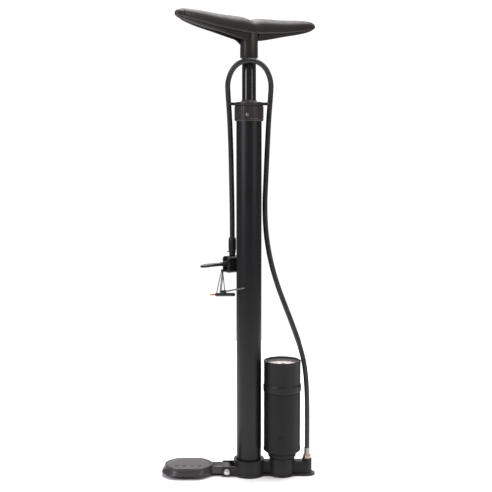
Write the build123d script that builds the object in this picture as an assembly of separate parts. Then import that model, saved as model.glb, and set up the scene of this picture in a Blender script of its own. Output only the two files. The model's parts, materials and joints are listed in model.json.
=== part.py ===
from build123d import *

import math
import os

# Floor bike pump, in millimetres. +Z is up, X runs along the base from the foot pedal (-X)
# to the hose union (+X), Y is front to back. The origin is on the barrel's axis, on the floor.

# --- fits -----------------------------------------------------------------------------------
running = 0.08        # radial clearance of a shaft or rod in its bearing
seated = 0.05         # radial clearance of a piece that is seated or screwed into another
free = 0.3            # clearance between faces that pass each other

# --- barrel and base ------------------------------------------------------------------------
barrel_diameter = 35.0
barrel_wall = 1.4
barrel_length = 498.0
gasket_thickness = 2.0
flange_thickness = 3.0
flange_lip = 1.6           # how far the flange stands out of the cups
cup_wall = 4.0             # wall of the barrel cup
cup_top = 23.0
cup_floor = 11.0
tank_gap = 2.7             # between the barrel and the tank's widest ring
tank_cup_radius = 17.8
tank_cup_top = 24.5
tank_cup_floor = 12.0
union_gap = 8.7            # from the gauge's collar to the axis of the hose union
boss_radius = 6.9
boss_top = 23.0
base_end_margin = 11.5
web_half_width = 6.0
web_top = 20.0
waist_half_width = 7.5
passage_radius = 2.0
passage_z = 5.5
union_thread_radius = 3.4
union_thread_bottom = 12.0

# --- foot pedal -----------------------------------------------------------------------------
pin_offset = 9.5           # from the barrel cup to the pedal's pin
pin_z = 7.0
pin_radius = 2.5
pin_head_radius = 4.8
ear_half_gap = 12.2
ear_thickness = 2.8
ear_margin = 7.2           # from the pin to the ears' end
ear_bottom = 1.5
ear_top = 14.7
washer_thickness = 0.5
pedal_top = 15.5
pedal_bottom = 4.8
pedal_length = 88.0        # from the pin to the end of the step's top
neck_length = 21.0
pedal_half_width = 25.5
pedal_corner = 15.0
pedal_flare = 4.2
pedal_wall = 2.2
tray_rim = 2.6
tray_depth = 1.0
neck_top = 13.6
neck_wall = 2.4
knuckle_radius = 6.6
cheek_radius = 4.4
rest_bar_top = 4.0
rest_bar_width = 2.0
stud_count = 4
stud_pitch = 11.0
stud_radius = 1.7

# --- one-way valve under the barrel ---------------------------------------------------------
valve_radius = 4.4
valve_pocket_floor = 3.0
valve_seat_z = 8.5
valve_flange_radius = 7.0
valve_flange_thickness = 1.5
valve_hole_radius = 1.7
disc_radius = 3.4
disc_thickness = 1.2
disc_gap = 0.05
spring_radius = 2.0
spring_wire = 0.3
spring_turns = 5

# --- cap and hose bracket -------------------------------------------------------------------
cap_wall = 2.5             # how far the cap stands out of the barrel
cap_roof = 7.0             # thickness of the cap above the barrel
cap_height = 21.0
cap_chamfer = 1.6
collar_height = 2.0
collar_wall = 3.0
bush_flange_thickness = 5.0
bush_wall = 2.4
flute_count = 32
flute_radius = 0.9
flute_margin = 4.0
cap_screw_height = 9.0    # above the cap's lower edge
cap_screw_angle = -97.0
cap_screw_radius = 1.5
cap_screw_head_radius = 3.0
cap_screw_head_height = 1.4
bracket_thickness = 5.0
bracket_dome_height = 2.6
clip_right_reach = 8.5     # from the cap's side to the hose's axis
clip_left_reach = 7.7
clip_y = -0.6
clip_play = 0.6            # the hose leans a little in its clips
clip_wall = 1.9
clip_mouth = 2.6           # each clip is open beyond this distance outside the hose's axis
arm_half_width = 3.6

# --- rod, piston and handle -----------------------------------------------------------------
rod_radius = 9.6
rod_wall = 2.1
rod_shown = 59.0           # rod between the bracket and the handle's stem, pushed right down
piston_rest = 0.6          # the piston stops this far above the barrel's foot
piston_flange = 3.0
piston_groove = 3.6
piston_groove_depth = 3.2
piston_spigot = 20.0
seal_clearance = 0.1
bumper_height = 8.0
bumper_wall = 4.8
piston_pin_radius = 1.5
stem_wall = 2.6
stem_length = 31.6
stem_spigot = 3.0          # the stem stands into the shell this far
stem_bore_depth = 40.0
plug_length = 28.0
handle_screw_radius = 2.0
handle_screw_length = 38.0
handle_screw_head_radius = 4.0
handle_screw_head_height = 3.0
handle_angle = 42.5        # how far the grips are turned about the rod, as it stands
# Sections of one grip: distance from the rod and half width, then the heights of its lip,
# its top and its keel's underside above the stem's end.
grip_sections = (
    (0.0, 12.6, -0.2, 19.6, -8.4),
    (14.0, 12.8, 0.0, 22.3, -8.0),
    (32.0, 12.8, 1.4, 22.9, -5.0),
    (60.0, 12.4, 3.9, 23.6, 0.3),
    (90.0, 11.2, 8.4, 25.5, 5.6),
    (112.0, 9.0, 12.6, 25.9, 10.6),
    (122.0, 7.2, 14.6, 25.0, 12.9),
)
grip_end = 129.0
keel_inset = 2.4           # the keel is this much narrower than the shell, each side
keel_wall = 2.2
keel_draft = 1.6           # its sides lean in by this much
keel_reach = 114.0
gusset_length = 16.0       # the keel's back wall curves down into the stem over this length
gusset_height = 6.0

# --- air tank and gauge ---------------------------------------------------------------------
tank_radius = 25.8
tank_wall = 2.4
tank_height = 96.0
tank_foot_step = 2.0       # how far the tank's foot stands out of its cup
tank_foot_height = 6.5
tank_shoulder_height = 12.0
tank_shoulder_step = 0.8   # how far the tank's lowest ring stands out
tank_spigot_wall = 3.3     # wall of the tank cup round the tank's spigot
tank_neck_height = 9.0
tank_neck_step = 2.0
tank_seal_thickness = 2.0
housing_step = 0.1         # how far the gauge housing stands out of the tank
housing_collar_step = 0.9
housing_height = 44.0
housing_wall = 2.3
housing_collar_height = 9.0
gauge_seal_thickness = 1.5
housing_floor_thickness = 3.5
case_wall = 0.8
case_height = 23.0
socket_radius = 4.5
nut_radius = 7.5
nut_height = 3.0
bourdon_inset = 5.2        # from the case's wall to the middle of the coiled tube
bourdon_half_thickness = 1.3
bourdon_half_height = 2.4
bourdon_sweep = 250.0
bourdon_height = 10.0
plate_thickness = 0.8
plate_gap = 5.6
plate_height = 4.0
spindle_radius = 0.8
arbor_radius = 0.6
dial_thickness = 0.6
pointer_length = 16.5
pointer_tail = 5.5
pointer_thickness = 0.5
pointer_zero_angle = 225.0
lens_thickness = 1.6
lens_height = 2.35         # above the dial
lens_ring_height = 1.0
lens_ring_width = 1.6
gear_module = 0.4
pinion_teeth = 10
sector_teeth = 60          # teeth that the sector's full circle would hold
sector_cut_teeth = 10
gear_width = 1.6

# --- hose -----------------------------------------------------------------------------------
hose_radius = 3.55
ferrule_height = 10.1
ferrule_radius = 4.2
ferrule_ridges = 3
union_nut_radius = 5.7
union_nut_height = 5.5
barb_radius = 2.2
hose_end_height = 38.0     # above the chuck's bore
# Corners of the hose's centre line. From the union: outwards, back, and up from the ferrule.
hose_rise = (
    (0.0, 0.0, 0.0),
    (0.0, 0.0, 37.4),
    (-0.6, 0.5, 81.4),
    (-3.9, 1.5, 118.4),
    (-11.9, 2.5, 149.4),
    (-25.9, 4.0, 187.4),
    (-40.9, 5.5, 225.4),
    (-51.5, 6.8, 260.4),
)
# Up the barrel's right side: out from the barrel, back, and up from the cap's top.
hose_right = (
    (6.5, 7.2, -181.0),
    (4.2, 7.2, -140.0),
    (6.0, 5.6, -98.0),
    (7.9, 4.2, -53.0),
    (9.7, 1.6, -15.0),
    (11.9, -2.0, 12.0),
    (12.8, -8.8, 34.5),
    (2.7, -14.8, 54.6),
)
hose_crown = (0.4, -17.2, 62.0)
# Down its left side: out from the barrel, back, and up from the cap's top.
hose_left = (
    (1.7, -14.8, 54.6),
    (11.9, -8.8, 34.5),
    (10.9, -2.0, 12.0),
    (9.0, 2.4, -15.0),
    (7.5, 6.2, -56.0),
    (6.7, 10.4, -98.0),
    (6.1, 14.6, -134.0),
    (5.8, 17.2, -160.0),
)

# --- chuck, in its own frame: x towards the valve's mouth, turned about the hose's end --------
chuck_angle = 35.0
bore_drop = 220.0          # from the cap's top down to the chuck's bore
sleeve_radius = 5.4
sleeve_height = 19.0
neck_radius = 4.4
body_end_x = -11.5
body_front_x = 16.0
body_half_width = 8.5
body_below = 11.2          # the body reaches this far below its bore
body_above = 11.3
body_chamfer = 2.2
slot_half_width = 3.7
slot_end_x = -2.5
slot_below = 6.0
hinge_x = -9.0
lever_pin_radius = 1.5
cam_radius = 4.2
cam_throw = 1.6
cam_angle = 130.0
plunger_radius = 4.5
plunger_gap = 0.12
plunger_front = 8.8
plunger_flange = 1.5
valve_bore_radius = 4.0    # takes an 8 mm tyre valve
gland_wall = 2.0
gland_start = 11.4
gland_length = 8.4
mouth_spigot_start = 10.0
mouth_spigot_wall = 1.0
mouth_nut_wall = 2.6
mouth_nut_front = 22.0
lever_length = 43.0
lever_neck_half_width = 3.4
lever_tip_half_width = 6.2
lever_thickness = 3.4

# --- adapters that hang from the chuck ---------------------------------------------------------
lug_x = -16.6
lug_half_thickness = 0.8
lug_top_below = 6.1
lug_height = 3.0
lug_bar = 0.7              # thickness of the bar round the lug's eye
lanyard_radius = 0.6
lanyard_pitch = 1.45
holder_angle = -45.0
holder_rise = 6.6
holder_drop = 42.1         # from the chuck's bore to the holder
holder_start = -13.2
holder_end = 23.2
holder_radius = 2.5
needle_rise = 13.5
needle_radius = 1.1
needle_hub_radius = 1.8
needle_length = 46.0
needle_seat = 6.5
needle_socket_wall = 0.7
tip_length = 17.0
tip_radius = 1.6

# --- values that follow from those above -------------------------------------------------------
barrel_radius = barrel_diameter / 2
bore_radius = barrel_radius - barrel_wall
barrel_bottom = cup_floor + gasket_thickness
barrel_top = barrel_bottom + barrel_length
cup_radius = barrel_radius + cup_wall
tank_shoulder_radius = tank_radius + tank_shoulder_step
tank_x = barrel_radius + tank_gap + tank_shoulder_radius
housing_collar_radius = tank_radius + housing_collar_step
boss_x = tank_x + housing_collar_radius + union_gap
base_end_x = boss_x + base_end_margin
pin_x = -cup_radius - pin_offset
ear_end_x = pin_x - ear_margin
ear_outer = ear_half_gap + ear_thickness
cheek_outer = ear_half_gap - washer_thickness - 2 * seated
pedal_end_x = pin_x - pedal_length
pedal_inner_x = pin_x - neck_length
cap_radius = barrel_radius + cap_wall
cap_top = barrel_top + cap_roof
cap_bottom = cap_top - cap_height
cap_screw_z = cap_bottom + cap_screw_height
flute_bottom = cap_bottom + flute_margin
clip_right_x = cap_radius + clip_right_reach
clip_left_x = -cap_radius - clip_left_reach
bush_radius = rod_radius + bush_wall
bush_bottom = barrel_top - bush_flange_thickness
collar_radius = bush_radius + collar_wall
piston_bottom = barrel_bottom + piston_rest
piston_radius = bore_radius - free
groove_bottom = piston_bottom + piston_flange
groove_top = groove_bottom + piston_groove
groove_radius = bore_radius - piston_groove_depth
piston_top = groove_top + piston_flange
bumper_top = piston_top + bumper_height
bumper_radius = rod_radius + bumper_wall
stroke = bush_bottom - bumper_top
rod_bore = rod_radius - rod_wall
stem_radius = rod_radius + stem_wall
stem_bottom = cap_top + bracket_thickness + rod_shown
stem_end = stem_bottom + stem_length
rod_top = stem_bottom + stem_bore_depth
plug_bottom = rod_top - plug_length
handle_screw_tip = plug_bottom + handle_screw_length - handle_screw_head_height
tank_foot_top = tank_cup_top + tank_foot_height
tank_shoulder_z = tank_cup_top + tank_shoulder_height
tank_top = tank_cup_top + tank_height
tank_spigot_radius = tank_cup_radius - tank_spigot_wall
tank_neck_radius = tank_radius - tank_neck_step
tank_neck_top = tank_top + tank_neck_height
housing_floor_z = tank_neck_top + gauge_seal_thickness
housing_collar_top = tank_top + housing_collar_height
tank_foot_radius = tank_cup_radius + tank_foot_step
housing_radius = tank_radius + housing_step
housing_bore = housing_radius - housing_wall
housing_top = tank_top + housing_height
case_radius = housing_bore - free
case_bottom = housing_floor_z + housing_floor_thickness
case_floor = case_bottom + case_wall
dial_radius = case_radius - free
bourdon_radius = case_radius - case_wall - bourdon_inset
bourdon_z = case_bottom + bourdon_height
bourdon_start = (360 - bourdon_sweep) / 2
plate_z = case_bottom + plate_height
upper_plate_z = plate_z + plate_thickness + plate_gap
gear_z = plate_z + plate_thickness + 1.4
gear_distance = gear_module * (pinion_teeth + sector_teeth) / 2
pivot_x = tank_x + gear_distance
dial_top = case_bottom + case_height + seated + dial_thickness
pointer_z = dial_top + 0.7
lens_bottom = dial_top + lens_height
lens_top = lens_bottom + lens_thickness
union_nut_top = boss_top + union_nut_height
ferrule_top = union_nut_top + ferrule_height
gland_radius = valve_bore_radius + gland_wall
gland_end = gland_start + gland_length
mouth_spigot_radius = gland_radius + mouth_spigot_wall
mouth_nut_radius = gland_radius + mouth_nut_wall
bore_z = cap_top - bore_drop
hose_end_z = bore_z + hose_end_height
sleeve_bottom = bore_z + sleeve_height
body_bottom = bore_z - body_below
body_top = bore_z + body_above
slot_floor = bore_z - slot_below
lug_top = bore_z - lug_top_below
lug_bottom = lug_top - lug_height
holder_z = bore_z - holder_drop
needle_lift = holder_radius + needle_hub_radius - 0.7
chuck_x = -barrel_radius - hose_left[-1][0]
chuck_y = hose_left[-1][1]

hose_points = (
    *((boss_x + x, y, ferrule_top + z) for x, y, z in hose_rise),
    *((barrel_radius + x, y, cap_top + z) for x, y, z in hose_right),
    (hose_crown[0], hose_crown[1], cap_top + hose_crown[2]),
    *((-barrel_radius - x, y, cap_top + z) for x, y, z in hose_left),
    (chuck_x, chuck_y, hose_end_z),
)


def disc(radius, bottom, top, x=0.0, y=0.0):
    return Pos(x, y, (bottom + top) / 2) * Cylinder(radius, top - bottom)


def ring(outer, inner, bottom, top, x=0.0, y=0.0):
    return disc(outer, bottom, top, x, y) - disc(inner, bottom - 1, top + 1, x, y)


def block(x0, x1, y0, y1, z0, z1):
    size = (x1 - x0, y1 - y0, z1 - z0)
    return Pos((x0 + x1) / 2, (y0 + y1) / 2, (z0 + z1) / 2) * Box(*size)


def turned(outline, x=0.0, y=0.0):
    """A solid turned about a vertical axis, from (radius, height) points."""
    face = make_face(Polyline([(r, 0, z) for r, z in outline], close=True))
    return Pos(x, y, 0) * revolve(face, Axis.Z)


def bar_along_x(radius, x0, x1, y=0.0, z=0.0):
    return Pos((x0 + x1) / 2, y, z) * Rot(0, 90, 0) * Cylinder(radius, x1 - x0)


def bar_along_y(radius, y0, y1, x=0.0, z=0.0):
    return Pos(x, (y0 + y1) / 2, z) * Rot(90, 0, 0) * Cylinder(radius, y1 - y0)


def prism(outline, bottom, top):
    """A plan outline, given as (x, y) points, raised from bottom to top."""
    face = make_face(Polyline([(x, y, bottom) for x, y in outline], close=True))
    return extrude(face, amount=top - bottom, dir=(0, 0, 1))


def cord_radii(points):
    """The radius at each inner point: as large as the two runs beside it leave room for."""
    corners = [Vector(*p) for p in points]
    radii = []
    for before, here, after in zip(corners, corners[1:], corners[2:]):
        turn = math.radians((here - before).get_angle(after - here))
        run = min((here - before).length, (after - here).length)
        radii.append(0.45 * run / math.tan(turn / 2))
    return radii


def cord(name, points, radius):
    """A round cord that follows straight runs joined by tangent arcs."""
    radii = cord_radii(points)
    path = FilletPolyline(*points, radius=radii)
    section = Plane(origin=path @ 0, z_dir=path % 0) * Circle(radius)
    solid = sweep(section, path=path)
    ratio = solid.volume / (math.pi * radius**2 * path.length)
    print(f"{name}: {path.length:.0f} mm long, volume {ratio:.4f} of section x length")
    print("  radii", " ".join(f"{r:.0f}" for r in radii))
    return solid


def base_casting():
    wide = cup_radius + flange_lip
    tank_wide = tank_cup_radius + flange_lip
    flange = disc(wide, 0, flange_thickness) + disc(tank_wide, 0, flange_thickness, tank_x)
    end = base_end_x - waist_half_width - 4
    flange += block(0, end, -waist_half_width - 4, waist_half_width + 4, 0, flange_thickness)
    flange += disc(waist_half_width + 4, 0, flange_thickness, end)
    flange += block(ear_end_x + 2, 0, -ear_half_gap, ear_half_gap, ear_bottom, flange_thickness)
    flange -= block(ear_end_x - 1, pin_x + knuckle_radius + free, -ear_half_gap, ear_half_gap, 0, 40)
    upright = [e for e in flange.edges().filter_by(Axis.Z) if e.center().X > 5]
    flange = fillet(upright, 5.0)
    rim = flange.faces().sort_by(Axis.Z)[-1].outer_wire().edges()
    rim = rim.filter_by(lambda e: e.center().X > -15)
    flange = fillet(rim, 0.9)
    body = flange + disc(cup_radius, 0, cup_top) + disc(tank_cup_radius, 0, tank_cup_top, tank_x)
    body += disc(boss_radius, 0, boss_top, boss_x)
    body += block(0, boss_x, -web_half_width, web_half_width, 0, web_top)
    for side in (-1, 1):
        y0, y1 = sorted((side * ear_half_gap, side * ear_outer))
        ear = block(ear_end_x, -10, y0, y1, ear_bottom, ear_top)
        ear = fillet(ear.edges().filter_by(Axis.Y).sort_by(Axis.X)[:2], 2.5)
        body += ear
    rest_end = ear_end_x + rest_bar_width
    body += block(ear_end_x, rest_end, -ear_outer, ear_outer, ear_bottom, rest_bar_top)
    body -= disc(barrel_radius + seated, cup_floor, 60)
    body -= disc(tank_spigot_radius + seated, tank_cup_floor, 60, tank_x)
    body -= disc(valve_radius + seated, valve_pocket_floor, 60)
    body -= disc(union_thread_radius + seated, union_thread_bottom, 60, boss_x)
    body -= bar_along_x(passage_radius, 0, boss_x + passage_radius, z=passage_z)
    body -= disc(passage_radius, passage_z, 30, tank_x)
    body -= disc(passage_radius, passage_z, 30, boss_x)
    body -= bar_along_y(pin_radius + seated, -30, 30, pin_x, pin_z)
    return body


def foot_pedal():
    c = pedal_corner
    a, b, w = pedal_end_x, pedal_inner_x, pedal_half_width
    outline = (
        (a, -w + c), (a + c, -w), (b - c, -w), (b, -w + c),
        (b, w - c), (b - c, w), (a + c, w), (a, w - c),
    )
    top_face = make_face(Polyline([(x, y, pedal_top) for x, y in outline], close=True))
    f = pedal_flare
    bottom_outline = (
        (a - f, -w + c - f / 2), (a + c - f / 2, -w - f),
        (b - c + f / 2, -w - f), (b + 1, -w + c - f / 2),
        (b + 1, w - c + f / 2), (b - c + f / 2, w + f),
        (a + c - f / 2, w + f), (a - f, w - c + f / 2),
    )
    bottom_face = make_face(Polyline([(x, y, pedal_bottom) for x, y in bottom_outline], close=True))
    skirt = loft([bottom_face, top_face])
    middle = Vector((a + b) / 2, 0, 0)

    def shrunk(points, inset, z):
        half_x = (points[3][0] - points[0][0]) / 2
        half_y = max(y for _, y in points)
        kx = (half_x - inset) / half_x
        ky = (half_y - inset) / half_y
        return [(middle.X + (x - middle.X) * kx, y * ky, z) for x, y in points]

    hollow_low = make_face(Polyline(shrunk(bottom_outline, pedal_wall, pedal_bottom), close=True))
    roof = pedal_top - pedal_wall - tray_depth
    hollow_high = make_face(Polyline(shrunk(outline, pedal_wall, roof), close=True))
    skirt -= loft([hollow_low, hollow_high])
    tray = make_face(Polyline(shrunk(outline, tray_rim, pedal_top - tray_depth), close=True))
    skirt -= extrude(tray, amount=tray_depth + 1, dir=(0, 0, 1))
    for i in range(stud_count):
        x = (a + b) / 2 + (i - (stud_count - 1) / 2) * stud_pitch
        stud = Pos(x, -8.0, pedal_top - tray_depth) * Sphere(stud_radius)
        skirt += stud & block(x - 9, x + 9, -20, 20, pedal_top - tray_depth - 0.5, pedal_top)
    neck = block(b - 1, pin_x, -cheek_outer, cheek_outer, neck_top - neck_wall, neck_top)
    for side in (-1, 1):
        y0, y1 = sorted((side * cheek_outer, side * (cheek_outer - neck_wall)))
        cheek = block(b - 1, pin_x, y0, y1, rest_bar_top + 0.05, neck_top - 1)
        cheek += bar_along_y(cheek_radius, y0, y1, pin_x, pin_z)
        cheek += bar_along_y(knuckle_radius, y0, y1, pin_x, pin_z) & block(pin_x, 0, y0, y1, pin_z, 30)
        neck += cheek
    curl = bar_along_y(knuckle_radius, -cheek_outer, cheek_outer, pin_x, pin_z)
    curl -= bar_along_y(knuckle_radius - neck_wall, -20, 20, pin_x, pin_z)
    neck += curl & block(pin_x, 0, -20, 20, pin_z, 30)
    neck -= bar_along_y(pin_radius + running, -30, 30, pin_x, pin_z)
    return skirt + neck


def base_parts():
    ear_face = ear_outer + 0.02
    pin = bar_along_y(pin_radius, -ear_face, ear_face, pin_x, pin_z)
    for side in (-1, 1):
        dome = Pos(pin_x, side * ear_face, pin_z) * Sphere(pin_head_radius)
        y0, y1 = sorted((side * ear_face, side * (ear_face + 2.4)))
        pin += dome & block(pin_x - 9, pin_x + 9, y0, y1, -5, 20)
    washers = []
    for side in (-1, 1):
        y0, y1 = sorted((side * (cheek_outer + 0.05), side * (ear_half_gap - 0.05)))
        washer = bar_along_y(cheek_radius + 0.4, y0, y1, pin_x, pin_z)
        washers.append(washer - bar_along_y(pin_radius + seated, -30, 30, pin_x, pin_z))
    return {
        "base_casting": base_casting(),
        "foot_pedal": foot_pedal(),
        "pedal_pin": pin,
        "pedal_washers": Compound(children=washers),
    }


def valve_spring():
    bottom = valve_pocket_floor + spring_wire + 0.02
    top = valve_seat_z - disc_gap - disc_thickness - spring_wire - 0.02
    path = Helix((top - bottom) / spring_turns, top - bottom, spring_radius)
    section = Plane(origin=path @ 0, z_dir=path % 0) * Circle(spring_wire)
    return Pos(0, 0, bottom) * sweep(section, path=path, is_frenet=True)


def barrel_parts():
    disc_top = valve_seat_z - disc_gap
    seat = disc(valve_radius, valve_seat_z, cup_floor)
    seat += disc(valve_flange_radius, cup_floor, cup_floor + valve_flange_thickness)
    seat -= disc(valve_hole_radius, 0, 30)
    return {
        "barrel_tube": ring(barrel_radius, bore_radius, barrel_bottom, barrel_top),
        "barrel_gasket": ring(barrel_radius - 0.2, bore_radius - 2.5, cup_floor, barrel_bottom),
        "check_valve_body": seat,
        "check_valve_disc": disc(disc_radius, disc_top - disc_thickness, disc_top),
        "check_valve_spring": valve_spring(),
    }


def radial(radius, inner, outer, angle, z):
    """A cylinder that points away from the barrel's axis."""
    return Rot(0, 0, angle) * bar_along_x(radius, inner, outer, 0, z)


def barrel_cap():
    cap = disc(cap_radius, cap_bottom, cap_top)
    cap = chamfer(cap.edges().sort_by(Axis.Z)[0], cap_chamfer)
    cap = fillet(cap.edges().sort_by(Axis.Z)[-1], 0.8)
    cap += disc(collar_radius, cap_top - 1, cap_top + collar_height)
    flute = disc(flute_radius, flute_bottom, cap_top - 1.2, cap_radius + flute_radius * 0.45)
    for i in range(flute_count):
        cap -= Rot(0, 0, i * 360 / flute_count) * flute
    cap -= disc(barrel_radius + seated, cap_bottom - 1, barrel_top)
    cap -= disc(bush_radius + seated, barrel_bottom, cap_top + 9)
    head_start = cap_radius - cap_screw_head_height - 0.4
    cap -= radial(cap_screw_head_radius + 0.1, head_start, 30, cap_screw_angle, cap_screw_z)
    cap -= radial(cap_screw_radius + seated, 10, 30, cap_screw_angle, cap_screw_z)
    return cap


def cap_screw():
    head_start = cap_radius - cap_screw_head_height - 0.4
    screw = radial(cap_screw_radius, barrel_radius, head_start, cap_screw_angle, cap_screw_z)
    head = radial(cap_screw_head_radius, head_start, cap_radius - 0.4, cap_screw_angle, cap_screw_z)
    for long, high in ((3.4, 0.7), (0.7, 3.4)):
        recess = block(cap_radius - 1.2, cap_radius + 1, -long / 2, long / 2, -high / 2, high / 2)
        head -= Rot(0, 0, cap_screw_angle) * Pos(0, 0, cap_screw_z) * recess
    return screw + head


def hose_bracket():
    bottom = cap_top
    top = bottom + bracket_thickness
    clip_radius = hose_radius + clip_play + clip_wall
    plate = disc(cap_radius - 0.4, bottom, top)
    plate = fillet(plate.edges().sort_by(Axis.Z)[-1], 1.2)
    arm_bottom, arm_top = bottom + 0.6, top - 0.6
    for clip_x in (clip_right_x, clip_left_x):
        x0, x1 = sorted((0, clip_x))
        plate += block(x0, x1, -arm_half_width, arm_half_width, arm_bottom, arm_top)
        plate += disc(clip_radius, arm_bottom, arm_top, clip_x, clip_y)
    dome_top = top + bracket_dome_height
    plate += turned((
        (0, top - 1), (bush_radius + 0.4, top - 1), (bush_radius, top),
        (rod_radius + 1.0, dome_top), (0, dome_top),
    ))
    for clip_x in (clip_right_x, clip_left_x):
        side = math.copysign(1, clip_x)
        x0, x1 = sorted((clip_x + side * clip_mouth, clip_x + side * 20))
        plate -= disc(hose_radius + clip_play, bottom - 1, top + 5, clip_x, clip_y)
        plate -= block(x0, x1, -20, 20, bottom - 1, top + 5)
    plate -= disc(collar_radius + seated, bottom - 1, bottom + collar_height + seated)
    plate -= disc(rod_radius + free, bottom - 1, top + 9)
    return plate


def cap_parts():
    bush = disc(bore_radius - seated, bush_bottom, barrel_top)
    bush += disc(bush_radius, bush_bottom, cap_top + collar_height)
    bush -= disc(rod_radius + running, barrel_bottom, cap_top + 9)
    return {
        "barrel_cap": barrel_cap(),
        "rod_guide_bush": bush,
        "cap_screw": cap_screw(),
        "hose_bracket": hose_bracket(),
    }


def grip_face(along, half_width, low, high, round_top=True):
    """An upright section of the grip at a distance along it: flat below and domed above."""
    side = (high - low) * 0.34
    shoulder = half_width * 0.72
    line = Polyline([
        (along, -half_width, low + side), (along, -half_width, low),
        (along, half_width, low), (along, half_width, low + side),
    ])
    crown = high - (high - low) * 0.16
    dome = Spline(
        (along, half_width, low + side), (along, shoulder, crown), (along, 0, high),
        (along, -shoulder, crown), (along, -half_width, low + side),
    )
    return make_face([*line.edges(), *dome.edges()])


def grip_rows():
    """The grip's sections with their heights above the floor."""
    return [
        (along, width, stem_end + lip, stem_end + top, stem_end + keel)
        for along, width, lip, top, keel in grip_sections
    ]


def handle_top_shell():
    rows = grip_rows()
    sections = [(-row[0], *row[1:4]) for row in reversed(rows[1:])]
    sections += [row[:4] for row in rows]
    shell = loft([grip_face(*section) for section in sections], ruled=True)
    _, width, low, high, _ = rows[-1]
    for side in (-1, 1):
        tip = grip_face(side * grip_end, width * 0.45, low + 1.6, high - 1.8)
        shell += loft([grip_face(side * rows[-1][0], width, low, high), tip])
    shell -= disc(rod_radius + seated, stem_bottom, rod_top)
    shell -= disc(handle_screw_radius + seated, stem_bottom, handle_screw_tip)
    shell -= disc(stem_radius + seated, stem_bottom, stem_end + stem_spigot)
    return Rot(0, 0, handle_angle) * shell


def keel_face(along, half_width, low, high):
    points = [
        (along, -half_width, high), (along, -half_width + keel_draft, low),
        (along, half_width - keel_draft, low), (along, half_width, high),
    ]
    return make_face(Polyline(points, close=True))


def gusset(side, keel_low):
    """The curved web that brings the back wall of one wing's keel down into the stem."""
    wall_y = grip_sections[0][1] - keel_inset - keel_draft - keel_wall / 2
    start = math.sqrt(stem_radius**2 - (wall_y + keel_wall / 2) ** 2) - 0.2
    reach = start + gusset_length
    foot = keel_low - gusset_height
    bend_x, bend_z = start + gusset_length * 0.3, keel_low - gusset_height * 0.25
    tip_z = keel_low + gusset_length * 0.12
    arc = ThreePointArc(
        (side * start, 0, foot), (side * bend_x, 0, bend_z), (side * reach, 0, tip_z)
    )
    edge = Polyline([
        (side * reach, 0, tip_z), (side * start, 0, keel_low + 3), (side * start, 0, foot),
    ])
    web = extrude(make_face([*arc.edges(), *edge.edges()]), amount=keel_wall / 2, both=True)
    return Pos(0, wall_y, 0) * web


def handle_core():
    rows = [
        (along, width - keel_inset, keel, lip - 0.02)
        for along, width, lip, _, keel in grip_rows() if along <= keel_reach
    ]
    core = disc(stem_radius, stem_bottom, stem_end + stem_spigot)
    core = fillet(core.edges().sort_by(Axis.Z)[0], 1.0)
    for side in (-1, 1):
        wing = loft([keel_face(side * s, w, low, high) for s, w, low, high in rows], ruled=True)
        hollows = [
            keel_face(side * (s + 4), w - keel_wall, low - 0.5, high - 1.2)
            for s, w, low, high in rows[1:]
        ]
        core += wing - loft(hollows, ruled=True)
        core += gusset(side, rows[0][2])
    core -= disc(rod_radius + seated, 0, rod_top)
    return Rot(0, 0, handle_angle) * core


def rod_parts():
    head = disc(piston_radius, piston_bottom, piston_top) - ring(40, groove_radius, groove_bottom, groove_top)
    head += disc(rod_bore - seated, piston_top - 1, piston_top + piston_spigot)
    pin_z_rod = piston_top + bumper_height + 5
    pin = bar_along_y(piston_pin_radius, -rod_radius + 0.2, rod_radius - 0.2, 0, pin_z_rod)
    pin_hole = bar_along_y(piston_pin_radius + 0.02, -20, 20, 0, pin_z_rod)
    rod = ring(rod_radius, rod_bore, piston_top, rod_top) - pin_hole
    plug = disc(rod_bore - seated, plug_bottom, rod_top)
    plug -= disc(handle_screw_radius + seated, plug_bottom - 1, rod_top + 1)
    screw = disc(handle_screw_radius, plug_bottom - 1, handle_screw_tip - 0.5)
    screw += disc(handle_screw_head_radius, plug_bottom - handle_screw_head_height, plug_bottom)
    return {
        "piston_seal": ring(bore_radius - 0.04, groove_radius + seal_clearance,
                            groove_bottom + seal_clearance, groove_top - seal_clearance),
        "piston_head": head - pin_hole,
        "piston_pin": pin,
        "top_bumper": ring(bumper_radius, rod_radius + seated, piston_top, bumper_top),
        "piston_rod": rod,
        "rod_top_plug": plug,
        "handle_screw": screw,
        "handle_core": handle_core(),
        "handle_top_shell": handle_top_shell(),
    }


def tank_body():
    wall = tank_wall
    bottom = tank_cup_floor + tank_seal_thickness
    outline = (
        (tank_spigot_radius - wall, bottom), (tank_spigot_radius, bottom), (tank_spigot_radius, tank_cup_top),
        (tank_cup_radius - 0.5, tank_cup_top), (tank_foot_radius, tank_cup_top + 3.2),
        (tank_foot_radius, tank_foot_top), (tank_shoulder_radius, tank_shoulder_z),
        (tank_radius, tank_shoulder_z + 8), (tank_radius, tank_top), (tank_neck_radius, tank_top),
        (tank_neck_radius, tank_neck_top), (tank_neck_radius - wall, tank_neck_top),
        (tank_neck_radius - wall, tank_shoulder_z + 4), (tank_spigot_radius - wall, tank_foot_top - 2),
    )
    return turned(outline, tank_x)


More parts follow.
